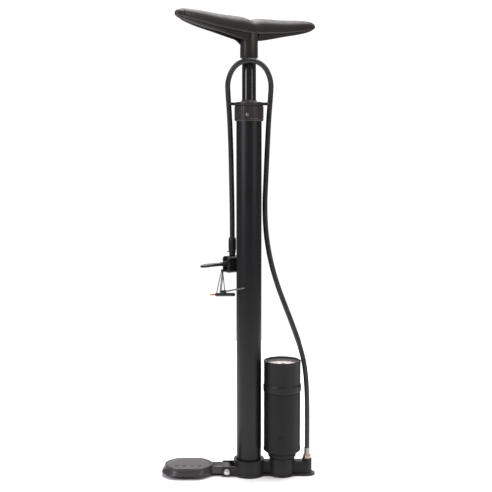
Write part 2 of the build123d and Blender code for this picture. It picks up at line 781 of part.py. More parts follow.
def gauge_housing():
    collar_bottom = tank_top + 0.2
    bore = tank_neck_radius + seated
    floor_top = case_bottom
    outline = (
        (bore, collar_bottom), (housing_collar_radius - 0.5, collar_bottom),
        (housing_collar_radius, collar_bottom + 1),
        (housing_collar_radius, housing_collar_top), (housing_radius, housing_collar_top + 2.5),
        (housing_radius, housing_top - 3), (housing_radius + 0.3, housing_top - 1.2),
        (housing_radius - 0.2, housing_top), (housing_bore + 0.3, housing_top),
        (housing_bore, housing_top - 1),
        (housing_bore, floor_top), (socket_radius + seated, floor_top),
        (socket_radius + seated, housing_floor_z),
        (bore, housing_floor_z),
    )
    return turned(outline, tank_x)


def gear(teeth, count, first_angle, bottom, hole):
    """Gear teeth as tapered blocks on a hub; count teeth are cut, starting at first_angle."""
    pitch_radius = gear_module * teeth / 2
    root = pitch_radius - 1.2 * gear_module
    tip = pitch_radius + 0.75 * gear_module
    wheel = disc(root, bottom, bottom + gear_width)
    half_root = 0.62 * gear_module
    half_tip = 0.24 * gear_module
    outline = ((root - 0.4, -half_root), (tip, -half_tip), (tip, half_tip), (root - 0.4, half_root))
    for i in range(count):
        wheel += Rot(0, 0, first_angle + i * 360 / teeth) * prism(outline, bottom, bottom + gear_width)
    return wheel - disc(hole, bottom - 1, bottom + gear_width + 1)


def sector_gear():
    """Toothed sector, its arm and its arbor, about its own pivot; it meshes towards -X."""
    step = 360 / sector_teeth
    first = 180 - step * (sector_cut_teeth - 2)
    wheel = gear(sector_teeth, sector_cut_teeth, first, gear_z, arbor_radius - 0.1)
    low = math.radians(first - step / 2)
    high = math.radians(first + step * (sector_cut_teeth - 0.5))
    middle = (low + high) / 2
    reach = gear_module * sector_teeth / 2 + 2
    wedge = (
        (0, 0), (reach * math.cos(low), reach * math.sin(low)),
        (reach * 1.2 * math.cos(middle), reach * 1.2 * math.sin(middle)),
        (reach * math.cos(high), reach * math.sin(high)),
    )
    wheel = wheel & prism(wedge, gear_z, gear_z + gear_width)
    wheel += disc(2.2, gear_z, gear_z + gear_width)
    wheel += block(0, 5.5, -1.1, 1.1, gear_z, gear_z + gear_width)
    return wheel + disc(arbor_radius, plate_z + 0.1, upper_plate_z + plate_thickness - 0.1)


def gauge_movement():
    outline = ((tank_x - 5, -4), (pivot_x + 4, -4), (pivot_x + 4, 4), (tank_x - 5, 4))
    frame = disc(4.0, case_floor + 1.6, plate_z, tank_x)
    for z in (plate_z, upper_plate_z):
        frame += prism(outline, z, z + plate_thickness)
    for y in (-3, 3):
        frame += disc(0.9, plate_z, upper_plate_z + plate_thickness, tank_x - 4, y)
    frame -= disc(spindle_radius + seated, plate_z - 1, dial_top, tank_x)
    frame -= disc(arbor_radius + seated, plate_z - 1, dial_top, pivot_x)
    pinion = gear(pinion_teeth, pinion_teeth, 180 / pinion_teeth, gear_z, spindle_radius - 0.3)
    pinion += disc(spindle_radius, plate_z - 0.6, pointer_z + 1.2)
    return {
        "movement_frame": frame,
        "sector_gear": Pos(pivot_x, 0, 0) * sector_gear(),
        "pointer_pinion": Pos(tank_x, 0, 0) * pinion,
    }


def bourdon_arc(half_thickness, half_height):
    """The coiled tube about the gauge's axis, with its gap towards +X."""
    plane = Plane(origin=(bourdon_radius, 0, bourdon_z), x_dir=(1, 0, 0), z_dir=(0, 1, 0))
    section = plane * Ellipse(half_thickness, half_height)
    return Rot(0, 0, bourdon_start) * revolve(section, Axis.Z, revolution_arc=bourdon_sweep)


def gauge_socket():
    """The gauge's stem, with an arm and a post that carry the coiled tube's fixed end."""
    arm_top = case_floor + 1.6
    socket = disc(socket_radius, housing_floor_z - nut_height - 4, arm_top)
    carrier = block(0, bourdon_radius, -1.5, 1.5, case_floor, arm_top)
    carrier += disc(1.5, case_floor, bourdon_z, bourdon_radius)
    socket += Rot(0, 0, 3 - bourdon_start) * carrier
    socket -= bourdon_arc(bourdon_half_thickness + seated, bourdon_half_height + seated)
    return socket - disc(1.2, housing_floor_z - 9, case_bottom)


def gauge_parts():
    case_low = case_bottom + seated
    case = ring(case_radius, case_radius - case_wall, case_low, case_bottom + case_height)
    case += disc(case_radius, case_low, case_floor - 0.02)
    case -= disc(socket_radius + seated, 0, 300)
    nut = extrude(RegularPolygon(nut_radius, 6), amount=nut_height) - Cylinder(socket_radius + 0.02, 20)
    dial_hole = 1.6
    pointer_outline = (
        (-pointer_tail, -1.1), (0, -0.9), (pointer_length, -0.2),
        (pointer_length, 0.2), (0, 0.9), (-pointer_tail, 1.1),
    )
    pointer = prism(pointer_outline, pointer_z, pointer_z + pointer_thickness)
    pointer += disc(1.9, pointer_z, pointer_z + 0.9)
    pointer -= disc(spindle_radius + 0.01, dial_top, lens_bottom)
    return {
        "tank_body": tank_body(),
        "tank_seal": ring(tank_spigot_radius - 0.1, tank_spigot_radius - tank_wall, tank_cup_floor,
                          tank_cup_floor + tank_seal_thickness, tank_x),
        "gauge_housing": gauge_housing(),
        "gauge_seal": ring(tank_neck_radius - 0.1, tank_neck_radius - tank_wall, tank_neck_top,
                           housing_floor_z, tank_x),
        "gauge_case": Pos(tank_x, 0, 0) * case,
        "gauge_socket": Pos(tank_x, 0, 0) * gauge_socket(),
        "gauge_nut": Pos(tank_x, 0, housing_floor_z - nut_height) * nut,
        "bourdon_tube": Pos(tank_x, 0, 0) * bourdon_arc(bourdon_half_thickness, bourdon_half_height),
        "gauge_dial": ring(dial_radius, dial_hole, dial_top - dial_thickness, dial_top, tank_x),
        "gauge_pointer": Pos(tank_x, 0, 0) * Rot(0, 0, pointer_zero_angle) * pointer,
        "gauge_lens": disc(housing_bore - 0.15, lens_bottom, lens_top, tank_x),
        "lens_ring": ring(housing_bore - seated, housing_bore - lens_ring_width, lens_top,
                          lens_top + lens_ring_height, tank_x),
        **gauge_movement(),
    }


def hose_parts():
    union = disc(union_thread_radius, union_thread_bottom, boss_top + 0.5, boss_x)
    nut = extrude(RegularPolygon(union_nut_radius + 0.4, 6), amount=union_nut_height)
    union += Pos(boss_x, 0, boss_top) * (nut & Cylinder(union_nut_radius, 40))
    union += disc(barb_radius, union_nut_top - 0.5, ferrule_top, boss_x)
    union -= disc(0.9, union_thread_bottom - 1, ferrule_top + 1, boss_x)
    ferrule = ring(ferrule_radius, barb_radius + 0.02, union_nut_top, ferrule_top, boss_x)
    pitch = (ferrule_top - union_nut_top) / (ferrule_ridges + 1)
    for i in range(ferrule_ridges):
        z = union_nut_top + (i + 1) * pitch
        ferrule -= ring(9, ferrule_radius - 0.45, z - 0.6, z + 0.6, boss_x)
    return {
        "hose_fitting": union,
        "hose_ferrule": ferrule,
        "hose": cord("hose", hose_points, hose_radius),
    }


def at_chuck(shape):
    return Pos(chuck_x, chuck_y, 0) * Rot(0, 0, chuck_angle) * shape


def chuck_body():
    body = block(body_end_x, body_front_x, -body_half_width, body_half_width, body_bottom, body_top)
    body = chamfer(body.edges().filter_by(Axis.X), body_chamfer)
    body = chamfer(body.edges().sort_by(Axis.X)[:8], 1.2)
    body += disc(neck_radius, body_top - 1, sleeve_bottom)
    lug = block(lug_x - 2.2, body_end_x + 2, -lug_half_thickness, lug_half_thickness, lug_bottom, lug_top)
    lug = fillet(lug.edges().filter_by(Axis.Y).sort_by(Axis.X)[:2], 1.0)
    body -= block(-60, slot_end_x, -slot_half_width, slot_half_width, slot_floor, body_top + 1)
    body += lug
    hole_half = lanyard_pitch / 2 + lanyard_radius + 0.15
    hole = block(lug_x - hole_half, lug_x + hole_half, -3, 3, lug_bottom + lug_bar, lug_top - lug_bar)
    body -= hole
    body -= bar_along_x(plunger_radius + running, hinge_x + 2.5, 40, 0, bore_z)
    body -= bar_along_x(gland_radius, plunger_front - plunger_flange - 0.3, 40, 0, bore_z)
    body -= bar_along_x(mouth_spigot_radius + seated, mouth_spigot_start, 40, 0, bore_z)
    body -= disc(1.6, bore_z, hose_end_z)
    body -= bar_along_y(lever_pin_radius + seated, -30, 30, hinge_x, bore_z)
    return body


def chuck_plunger():
    cam_x = cam_throw * math.cos(math.radians(cam_angle))
    back = hinge_x + cam_radius + cam_x + plunger_gap
    plunger = bar_along_x(plunger_radius, back, plunger_front - 0.5, 0, bore_z)
    flange_start = plunger_front - plunger_flange
    plunger += bar_along_x(gland_radius - running, flange_start, plunger_front, 0, bore_z)
    waist = bar_along_x(20, -3.5, 3.5, 0, bore_z) - bar_along_x(plunger_radius - 1.4, -4, 4, 0, bore_z)
    plunger -= waist
    plunger -= bar_along_x(1.2, -1, 30, 0, bore_z)
    plunger -= disc(1.2, bore_z, bore_z + 9)
    return plunger


def chuck_lever():
    half = lever_thickness / 2
    tip = hinge_x - lever_length
    middle = hinge_x - lever_length * 0.5
    root_top, root_low = bore_z + half + 0.3, bore_z - half - 0.6
    tip_top, tip_low = bore_z + half - 0.6, bore_z - half + 0.3
    top = ThreePointArc((hinge_x, 0, root_top), (middle, 0, bore_z + half + 1.2), (tip, 0, tip_top))
    low = ThreePointArc((tip, 0, tip_low), (middle, 0, bore_z - half + 1.0), (hinge_x, 0, root_low))
    ends = (
        Line((tip, 0, tip_top), (tip, 0, tip_low)),
        Line((hinge_x, 0, root_low), (hinge_x, 0, root_top)),
    )
    side = make_face([*top.edges(), *low.edges(), ends[0].edge(), ends[1].edge()])
    neck, wide = lever_neck_half_width, lever_tip_half_width
    plan = (
        (hinge_x + 9, -neck), (hinge_x + 9, neck), (hinge_x - 12, neck), (hinge_x - 26, wide),
        (tip + 5, wide), (tip, wide - 4), (tip, 4 - wide), (tip + 5, -wide),
        (hinge_x - 26, -wide), (hinge_x - 12, -neck),
    )
    lever = extrude(side, amount=10, both=True) & prism(plan, bore_z - 20, bore_z + 20)
    turn = math.radians(cam_angle)
    cam_x = hinge_x + cam_throw * math.cos(turn)
    cam_z = bore_z + cam_throw * math.sin(turn)
    lever += bar_along_y(cam_radius, -neck, neck, cam_x, cam_z)
    lever += bar_along_y(1.5, -neck, neck, hinge_x - 9, bore_z + half + 0.6)
    return lever - bar_along_y(lever_pin_radius + running, -30, 30, hinge_x, bore_z)


def chuck_parts():
    sleeve = disc(sleeve_radius, sleeve_bottom, hose_end_z)
    sleeve = fillet(sleeve.edges().filter_by(GeomType.CIRCLE), 1.3)
    sleeve -= disc(1.6, bore_z, hose_end_z + 1)
    clip_top = sleeve_bottom - 0.3
    clip = ring(neck_radius + 0.7, neck_radius + seated, clip_top - 1.8, clip_top)
    tab = block(neck_radius + 0.2, neck_radius + 2.2, -0.9, 0.9, clip_top - 1.8, clip_top)
    clip += Rot(0, 0, 150) * tab
    nut = bar_along_x(mouth_spigot_radius, mouth_spigot_start + 0.1, body_front_x + 0.5, 0, bore_z)
    nut += bar_along_x(mouth_nut_radius, body_front_x, mouth_nut_front, 0, bore_z)
    nut -= bar_along_x(gland_radius + seated, 0, gland_end, 0, bore_z)
    nut -= bar_along_x(valve_bore_radius, 0, 40, 0, bore_z)
    gland = bar_along_x(gland_radius, gland_start, gland_end, 0, bore_z)
    gland -= bar_along_x(valve_bore_radius, 0, 40, 0, bore_z)
    pin = bar_along_y(lever_pin_radius, -body_half_width + 0.3, body_half_width - 0.3, hinge_x, bore_z)
    shapes = {
        "chuck_sleeve": sleeve,
        "sleeve_clip": clip,
        "chuck_body": chuck_body(),
        "chuck_mouth_nut": nut,
        "chuck_gland": gland,
        "chuck_plunger": chuck_plunger(),
        "chuck_lever": chuck_lever(),
        "chuck_lever_pin": pin,
    }
    return {name: at_chuck(shape) for name, shape in shapes.items()}


def holder_frame(rise, above=0.0):
    """A frame over the holder's middle, x along it and tilted up by rise."""
    eye = at_chuck(Vertex(lug_x, 0, 0)).center()
    turn = Rot(0, 0, holder_angle) * Rot(0, -rise, 0)
    return Pos(eye.X, eye.Y, holder_z) * turn * Pos(0, 0, above)


def adapter_parts():
    frame = holder_frame(holder_rise)
    needle_frame = holder_frame(needle_rise, needle_lift)
    tube = bar_along_x(holder_radius, holder_start, holder_end)
    holder = frame * fillet(tube.edges().filter_by(GeomType.CIRCLE), 0.6)
    holder += needle_frame * bar_along_x(needle_hub_radius + needle_socket_wall, -1, needle_seat)
    holder -= needle_frame * bar_along_x(needle_hub_radius + 0.02, 0, 20)
    holder -= frame * bar_along_x(tip_radius - 0.38, holder_start - 1, holder_start + 5)
    needle = bar_along_x(needle_hub_radius, 0.02, needle_seat - 0.2)
    needle += bar_along_x(needle_radius, needle_seat - 1, needle_length)
    needle -= bar_along_x(needle_radius - 0.4, -2, needle_length - 2)
    tip_end = holder_start - (tip_length - 5)
    tip = bar_along_x(tip_radius - 0.4, holder_start - 1, holder_start + 4.8)
    tip += bar_along_x(tip_radius, tip_end + 3.5, holder_start)
    tip += bar_along_x(tip_radius - 0.5, tip_end, tip_end + 4)
    return {
        "adapter_holder": holder,
        "ball_needle": needle_frame * needle,
        "presta_adapter": frame * tip,
    }


def lanyards():
    """Two cord loops through the eye under the lever; each end is tied to the holder."""
    crown = lug_bottom + lug_bar + lanyard_radius + 0.1
    frame = holder_frame(holder_rise)
    needle_frame = holder_frame(needle_rise, needle_lift)
    seat = holder_radius + 0.15
    socket_seat = needle_hub_radius + needle_socket_wall + 0.15
    ends = {
        "lanyard_outer": (frame * Vertex(-11.8, 0, seat), needle_frame * Vertex(5.6, 0, socket_seat)),
        "lanyard_inner": (frame * Vertex(-5.2, 0, seat), frame * Vertex(-3.2, 0, seat)),
    }
    loops = {}
    for name, offset in (("lanyard_outer", -lanyard_pitch / 2), ("lanyard_inner", lanyard_pitch / 2)):
        first, last = (tuple(end.center()) for end in ends[name])
        eye = (at_chuck(Vertex(lug_x + offset, side * 1.9, crown)) for side in (1, -1))
        bends = [tuple(corner.center()) for corner in eye]
        loops[name] = cord(name, [first, *bends, last], lanyard_radius)
    return loops


os.makedirs("parts", exist_ok=True)
pieces = {
    **base_parts(),
    **barrel_parts(),
    **cap_parts(),
    **rod_parts(),
    **gauge_parts(),
    **hose_parts(),
    **chuck_parts(),
    **adapter_parts(),
    **lanyards(),
}
for name, shape in pieces.items():
    export_step(shape, f"parts/{name}.step")
print(f"{len(pieces)} pieces, stroke {stroke:.1f} mm")
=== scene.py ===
import json
import math
import bmesh
import bpy
from mathutils import Matrix, Vector


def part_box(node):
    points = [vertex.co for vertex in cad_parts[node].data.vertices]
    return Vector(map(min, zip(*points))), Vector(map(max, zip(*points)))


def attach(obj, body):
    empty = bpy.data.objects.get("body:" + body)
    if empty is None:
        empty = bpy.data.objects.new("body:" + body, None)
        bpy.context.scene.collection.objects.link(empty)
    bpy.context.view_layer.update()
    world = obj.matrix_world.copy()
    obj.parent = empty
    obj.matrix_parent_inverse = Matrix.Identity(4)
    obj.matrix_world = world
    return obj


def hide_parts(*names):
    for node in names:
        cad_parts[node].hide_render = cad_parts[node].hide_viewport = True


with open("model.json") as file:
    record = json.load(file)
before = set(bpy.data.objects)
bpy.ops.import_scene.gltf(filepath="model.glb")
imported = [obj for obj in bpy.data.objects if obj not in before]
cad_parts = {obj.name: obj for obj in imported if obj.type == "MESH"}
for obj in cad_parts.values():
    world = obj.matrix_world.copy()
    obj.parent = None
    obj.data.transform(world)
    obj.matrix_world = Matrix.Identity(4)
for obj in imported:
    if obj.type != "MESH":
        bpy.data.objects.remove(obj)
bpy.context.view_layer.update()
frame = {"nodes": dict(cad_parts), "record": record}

mm = 0.001


class Wire:
    # one output socket; an expression on wires adds its Math nodes
    def __init__(self, work, socket):
        self.work = work
        self.socket = socket

    def maths(self, operation, first, second):
        return self.work.add("ShaderNodeMath", {"operation": operation}, {0: first, 1: second})

    def __add__(self, other):
        return self.maths("ADD", self, other)

    def __sub__(self, other):
        return self.maths("SUBTRACT", self, other)

    def __rsub__(self, other):
        return self.maths("SUBTRACT", other, self)

    def __mul__(self, other):
        return self.maths("MULTIPLY", self, other)

    __radd__ = __add__
    __rmul__ = __mul__


class NodeWork:
    def __init__(self, tree):
        self.tree = tree

    def add(self, kind, settings=None, inputs=None, output=0):
        node = self.tree.nodes.new(kind)
        for key, value in (settings or {}).items():
            setattr(node, key, value)
        for key, value in (inputs or {}).items():
            if isinstance(value, Wire):
                self.tree.links.new(value.socket, node.inputs[key])
            else:
                node.inputs[key].default_value = value
        return Wire(self, node.outputs[output])

    def finish(self, shader):
        output = self.tree.nodes.new("ShaderNodeOutputMaterial")
        self.tree.links.new(shader.socket, output.inputs["Surface"])

    def mixColor(self, factor, first, second):
        return self.add("ShaderNodeMix", {"data_type": "RGBA"}, {0: factor, 6: first, 7: second}, 2)

    def mottle(self, size, detail=3.0, stretch=(1, 1, 1)):
        # noise about 0.5, with features of that size in metres; stretch is along X, Y and Z
        place = self.add("ShaderNodeTexCoord", output="Object")
        scale = tuple(1 / (size * s) for s in stretch)
        place = self.add("ShaderNodeMapping", None, {"Vector": place, "Scale": scale})
        return self.add("ShaderNodeTexNoise", None, {"Vector": place, "Scale": 1.0, "Detail": detail})

    def steps(self, wire, low, high):
        return self.add("ShaderNodeMapRange", {"clamp": True}, {0: wire, 1: low, 2: high, 3: 0.0, 4: 1.0})


def newFinish(name):
    material = bpy.data.materials.new(name)
    material.use_nodes = True
    material.node_tree.nodes.clear()
    return material, NodeWork(material.node_tree)


def close(work, color, roughness, height=None, depth=0.0, metallic=0.0, **constants):
    # the shader at the end of a finish; depth is the bump's height in metres
    sockets = {"Base Color": color, "Roughness": roughness, "Metallic": metallic}
    if height is not None:
        bump = {"Height": height, "Distance": depth, "Strength": 1.0}
        sockets["Normal"] = work.add("ShaderNodeBump", None, bump)
    for key, value in constants.items():
        sockets[key] = value
    shader = work.add("ShaderNodeBsdfPrincipled", None, sockets)
    work.finish(shader)


def shade(color, factor):
    return tuple(min(1.0, c * factor) for c in color) + (1.0,)


def powderCoat(name, color, roughness=0.46, dust=0.25, shine=0.26):
    # baked powder: a fine orange peel, faint handling marks and a little dust low down
    material, work = newFinish(name)
    peel = work.mottle(0.0011, 2.0)
    cloud = work.mottle(0.03, 4.0)
    speck = work.steps(work.mottle(0.0006, 1.0), 0.63, 0.70)
    height = work.add("ShaderNodeSeparateXYZ", None, {0: work.add("ShaderNodeTexCoord", output="Object")}, 2)
    low = work.steps(height, 0.05, 0.0) * dust * cloud
    tone = work.mixColor(cloud, shade(color, 0.82), shade(color, 1.2))
    tone = work.mixColor(low, tone, (0.10, 0.095, 0.09, 1))
    tone = work.mixColor(speck * 0.35, tone, shade(color, 2.2))
    gloss = cloud * 0.16 + peel * 0.05 + (roughness - 0.105)
    close(work, tone, gloss, peel, 0.00003, **{"Specular IOR Level": shine})
    return material


def mouldedPlastic(name, color, roughness, grain=0.0007, depth=0.00002, spread=0.12):
    # injection-moulded plastic: a fine etched grain and a slow change of gloss
    material, work = newFinish(name)
    fine = work.mottle(grain, 2.0)
    cloud = work.mottle(0.018, 3.0)
    tone = work.mixColor(cloud, shade(color, 0.85), shade(color, 1.18))
    close(work, tone, cloud * spread + (roughness - spread / 2), fine, depth, **{"Specular IOR Level": 0.32})
    return material


def glossyPlastic(name, color, roughness, stretch=(1, 1, 1)):
    # polished plastic: faint flow lines, and rubbed places that are a little duller
    material, work = newFinish(name)
    flow = work.mottle(0.02, 4.0, stretch)
    rubbed = work.steps(work.mottle(0.009, 5.0), 0.48, 0.72)
    tone = work.mixColor(flow, shade(color, 0.8), shade(color, 1.25))
    gloss = rubbed * 0.10 + flow * 0.05 + (roughness - 0.04)
    polish = {"Coat Weight": 0.08, "Coat Roughness": 0.3, "Specular IOR Level": 0.4}
    close(work, tone, gloss, flow, 0.00012, **polish)
    return material


def hoseRubber(name, color, roughness=0.42):
    # extruded rubber: faint lines along its length and a soft bloom
    material, work = newFinish(name)
    lines = work.mottle(0.0009, 2.0, (1, 1, 14))
    bloom = work.steps(work.mottle(0.012, 4.0), 0.40, 0.75)
    tone = work.mixColor(bloom, shade(color, 0.85), shade(color, 1.5))
    close(work, tone, bloom * 0.14 + roughness, lines, 0.00002, **{"Sheen Weight": 0.08})
    return material


def platedMetal(name, color, roughness, stretch=(1, 1, 6), tarnish=0.5):
    # plated or bare metal: fine tool lines and patches of dull film
    material, work = newFinish(name)
    lines = work.mottle(0.0004, 2.0, stretch)
    film = work.steps(work.mottle(0.004, 4.0), 0.45, 0.75)
    tone = work.mixColor(film * tarnish, shade(color, 1.05), shade(color, 0.62))
    close(work, tone, film * 0.16 + lines * 0.08 + roughness, lines, 0.000006, metallic=1.0)
    return material


def printedDial(name, color):
    material, work = newFinish(name)
    fleck = work.mottle(0.0008, 2.0)
    warm = work.mottle(0.02, 2.0)
    tone = work.mixColor(warm, shade(color, 0.96), shade((0.93, 0.80, 0.78), 1.0))
    close(work, tone, fleck * 0.08 + 0.30, fleck, 0.000004, **{"Coat Weight": 0.4, "Coat Roughness": 0.08})
    return material


def clearLens(name):
    # a thin clear cover: nearly all of it lets light through, with a faint haze
    material, work = newFinish(name)
    haze = work.steps(work.mottle(0.006, 4.0), 0.5, 0.8)
    veil = haze * 0.03 + 0.07
    close(work, (0.9, 0.9, 0.9, 1), haze * 0.05 + 0.03, Alpha=veil)
    return material


finishes = {
    "base_paint": powderCoat("baseCoat", (0.004, 0.004, 0.0045), 0.44, 0.3),
    "pedal_paint": powderCoat("pedalCoat", (0.026, 0.022, 0.025), 0.38, 0.2, 0.5),
    "barrel_paint": powderCoat("barrelCoat", (0.0060, 0.0054, 0.0066), 0.40, 0.0, 0.32),
    "tank_paint": powderCoat("tankCoat", (0.0055, 0.0053, 0.0060), 0.50, 0.1),
    "nickel_steel": platedMetal("nickelledSteel", (0.56, 0.54, 0.52), 0.24),
    "needle_steel": platedMetal("needleSteel", (0.17, 0.16, 0.155), 0.42),
    "spring_steel": platedMetal("springSteel", (0.45, 0.45, 0.46), 0.32),
    "nickel_plate": platedMetal("ferruleNickel", (0.34, 0.33, 0.31), 0.26, tarnish=0.35),
    "brass": platedMetal("fittingBrass", (0.40, 0.31, 0.25), 0.32, tarnish=0.4),
    "copper_tip": platedMetal("copperTip", (0.60, 0.40, 0.32), 0.28, tarnish=0.4),
    "seal_rubber": hoseRubber("sealRubber", (0.018, 0.018, 0.018), 0.55),
    "hose_rubber": hoseRubber("hoseRubber", (0.013, 0.0125, 0.013), 0.36),
    "lanyard_rubber": hoseRubber("lanyardRubber", (0.012, 0.0115, 0.012), 0.5),
    "cap_plastic": mouldedPlastic("capPlastic", (0.030, 0.0265, 0.028), 0.34),
    "bush_plastic": mouldedPlastic("bushPlastic", (0.05, 0.05, 0.05), 0.5),
    "gauge_plastic": mouldedPlastic("gaugePlastic", (0.0065, 0.0062, 0.0070), 0.44),
    "chuck_plastic": mouldedPlastic("chuckPlastic", (0.015, 0.015, 0.016), 0.38, 0.0005),
    "lever_plastic": mouldedPlastic("leverPlastic", (0.016, 0.0155, 0.016), 0.48, 0.0005),
    "handle_plastic": glossyPlastic("handlePlastic", (0.019, 0.0162, 0.0148), 0.44, (5, 5, 1)),
    "rod_plastic": glossyPlastic("rodPlastic", (0.010, 0.0095, 0.011), 0.16, (1, 1, 8)),
    "gauge_can": platedMetal("gaugeCan", (0.70, 0.70, 0.70), 0.3),
    "dial_white": printedDial("dialWhite", (0.90, 0.84, 0.82)),
    "pointer_black": mouldedPlastic("pointerBlack", (0.03, 0.03, 0.03), 0.35),
    "lens_clear": clearLens("lensClear"),
}
# dark ink for the dial's ticks and numbers; the same black is painted shade in the cap screw's cross cut
inkAndPaintedShade = mouldedPlastic("inkAndPaintedShade", (0.03, 0.03, 0.035), 0.5)
slotOf = {part["node"]: part["material_slot"] for part in frame["record"]["subparts"]}
bodyOf = {node: body for body, nodes in frame["record"]["behaviour"]["bodies"].items() for node in nodes}
for node, thing in frame["nodes"].items():
    thing.data.materials.clear()
    thing.data.materials.append(finishes[slotOf[node]])
print("finishes ready")


def rounded(corners, radius, steps=4):
    # a closed outline of (x, y) corners with each corner rounded; a corner's third number is its own radius
    result = []
    for index, corner in enumerate(corners):
        here = Vector(corner[:2])
        before = Vector(corners[index - 1][:2]) - here
        after = Vector(corners[(index + 1) % len(corners)][:2]) - here
        wanted = corner[2] if len(corner) > 2 else radius
        half = before.angle(after) / 2
        if wanted <= 0 or half > math.radians(89):
            result.append(tuple(here))
            continue
        room = 0.48 * min(before.length, after.length)
        reach = min(wanted / math.tan(half), room)
        radiusHere = reach * math.tan(half)
        start = here + before.normalized() * reach
        end = here + after.normalized() * reach
        inward = (before.normalized() + after.normalized()).normalized()
        middle = here + inward * (radiusHere / math.sin(half))
        first = start - middle
        sweep = first.angle_signed(end - middle)
        for step in range(steps + 1):
            turn = Matrix.Rotation(-sweep * step / steps, 2)
            result.append(tuple(middle + turn @ first))
    return result


def lathe(outline, centre=(0, 0), steps=96):
    # turns a closed outline of (radius, height) in millimetres about an upright axis
    count = len(outline)
    points = []
    faces = []
    for step in range(steps):
        angle = 2 * math.pi * step / steps
        for radius, height in outline:
            x = centre[0] + radius * math.cos(angle)
            y = centre[1] + radius * math.sin(angle)
            points.append((x, y, height))
    for step in range(steps):
        here, there = step * count, (step + 1) % steps * count
        for index in range(count):
            after = (index + 1) % count
            faces.append((here + index, there + index, there + after, here + after))
    return points, faces


def skin(rings):
    # a closed shell through rings that have the same number of points
    count = len(rings[0])
    points = [point for ring in rings for point in ring]
    faces = [tuple(range(count)), tuple(range((len(rings) - 1) * count, len(rings) * count))]
    for row in range(len(rings) - 1):
        for index in range(count):
            after = (index + 1) % count
            low, high = row * count, (row + 1) * count
            faces.append((low + index, low + after, high + after, high + index))
    return points, faces


def asMesh(name, *shapes, place=None):
    # one mesh in metres from shapes given in millimetres
    build = bmesh.new()
    for points, faces in shapes:
        corners = [build.verts.new(Vector(point)) for point in points]
        for face in faces:
            build.faces.new([corners[index] for index in face])
    if place is not None:
        build.transform(place)
    build.transform(Matrix.Scale(mm, 4))
    bmesh.ops.remove_doubles(build, verts=build.verts, dist=1e-7)
    bmesh.ops.dissolve_degenerate(build, edges=build.edges, dist=1e-7)
    bmesh.ops.recalc_face_normals(build, faces=build.faces)
    mesh = bpy.data.meshes.new(name)
    build.to_mesh(mesh)
    build.free()
    return mesh


def applyModifiers(thing):
    # the evaluated shape becomes the object's own mesh
    bpy.context.view_layer.update()
    graph = bpy.context.evaluated_depsgraph_get()
    made = bpy.data.meshes.new_from_object(thing.evaluated_get(graph))
    thing.modifiers.clear()
    thing.data = made


def soften(thing, width, angle=30, segments=3):
    bevel = thing.modifiers.new("edges", "BEVEL")
    bevel.width = width * mm
    bevel.segments = segments
    bevel.limit_method = "ANGLE"
    bevel.angle_limit = math.radians(angle)
    bevel.use_clamp_overlap = True
    applyModifiers(thing)


def piece(name, mesh, node, finish=None, edge=0.0, sharp=40, replace=True):
    # a finished piece that stands for a CAD node and rides on the node's body
    thing = bpy.data.objects.new(name, mesh)
    bpy.context.scene.collection.objects.link(thing)
    if edge:
        soften(thing, edge)
    thing.data.materials.clear()
    thing.data.materials.append(finish or finishes[slotOf[node]])
    thing.data.shade_smooth()
    thing.data.set_sharp_from_angle(angle=math.radians(sharp))
    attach(thing, bodyOf[node])
    if replace:
        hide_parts(node)
    return thing


def cleanCopy(node, flatness=0.4):
    # a merged copy of a CAD node's mesh, with its flat faces whole again
    build = bmesh.new()
    build.from_mesh(frame["nodes"][node].data)
    bmesh.ops.remove_doubles(build, verts=build.verts, dist=2e-6)
    bmesh.ops.dissolve_limit(build, angle_limit=math.radians(flatness), verts=build.verts, edges=build.edges)
    mesh = bpy.data.meshes.new(node + "Copy")
    build.to_mesh(mesh)
    build.free()
    return mesh


def middle(node):
    low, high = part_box(node)
    return (low + high) / 2 / mm


def top(node):
    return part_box(node)[1].z / mm


def bottom(node):
    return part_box(node)[0].z / mm


def across(node):
    low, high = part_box(node)
    return (high.y - low.y) / 2 / mm


studio = {
    "floorRadius": 0.95,
    "floorSides": 64,
    "floorTone": 0.95,
    "backdrop": 1.05,
    "surroundings": 0.20,
    "lens": 74.28,
    "cameraPlace": (-0.0041, -1.4, 0.4754),
    "cameraTilt": 83.88,
}


def addLight(name, place, target, size, power, color):
    lamp = bpy.data.lights.new(name, "AREA")
    lamp.shape = "RECTANGLE"
    lamp.size, lamp.size_y = size
    lamp.energy = power
    lamp.color = color
    thing = bpy.data.objects.new(name, lamp)
    thing.location = place
    thing.rotation_euler = (Vector(target) - Vector(place)).to_track_quat("-Z", "Y").to_euler()
    bpy.context.scene.collection.objects.link(thing)


def buildWorld():
    # a white backdrop for the camera, with dimmer surroundings for what the pump reflects
    world = bpy.data.worlds.new("studioWorld")
    world.use_nodes = True
    world.node_tree.nodes.clear()
    work = NodeWork(world.node_tree)
    seen = work.add("ShaderNodeLightPath")
    strength = seen * (studio["backdrop"] - studio["surroundings"]) + studio["surroundings"]
    light = work.add("ShaderNodeBackground", None, {"Color": (1.0, 1.0, 1.0, 1), "Strength": strength})
    output = world.node_tree.nodes.new("ShaderNodeOutputWorld")
    world.node_tree.links.new(light.socket, output.inputs["Surface"])
    bpy.context.scene.world = world


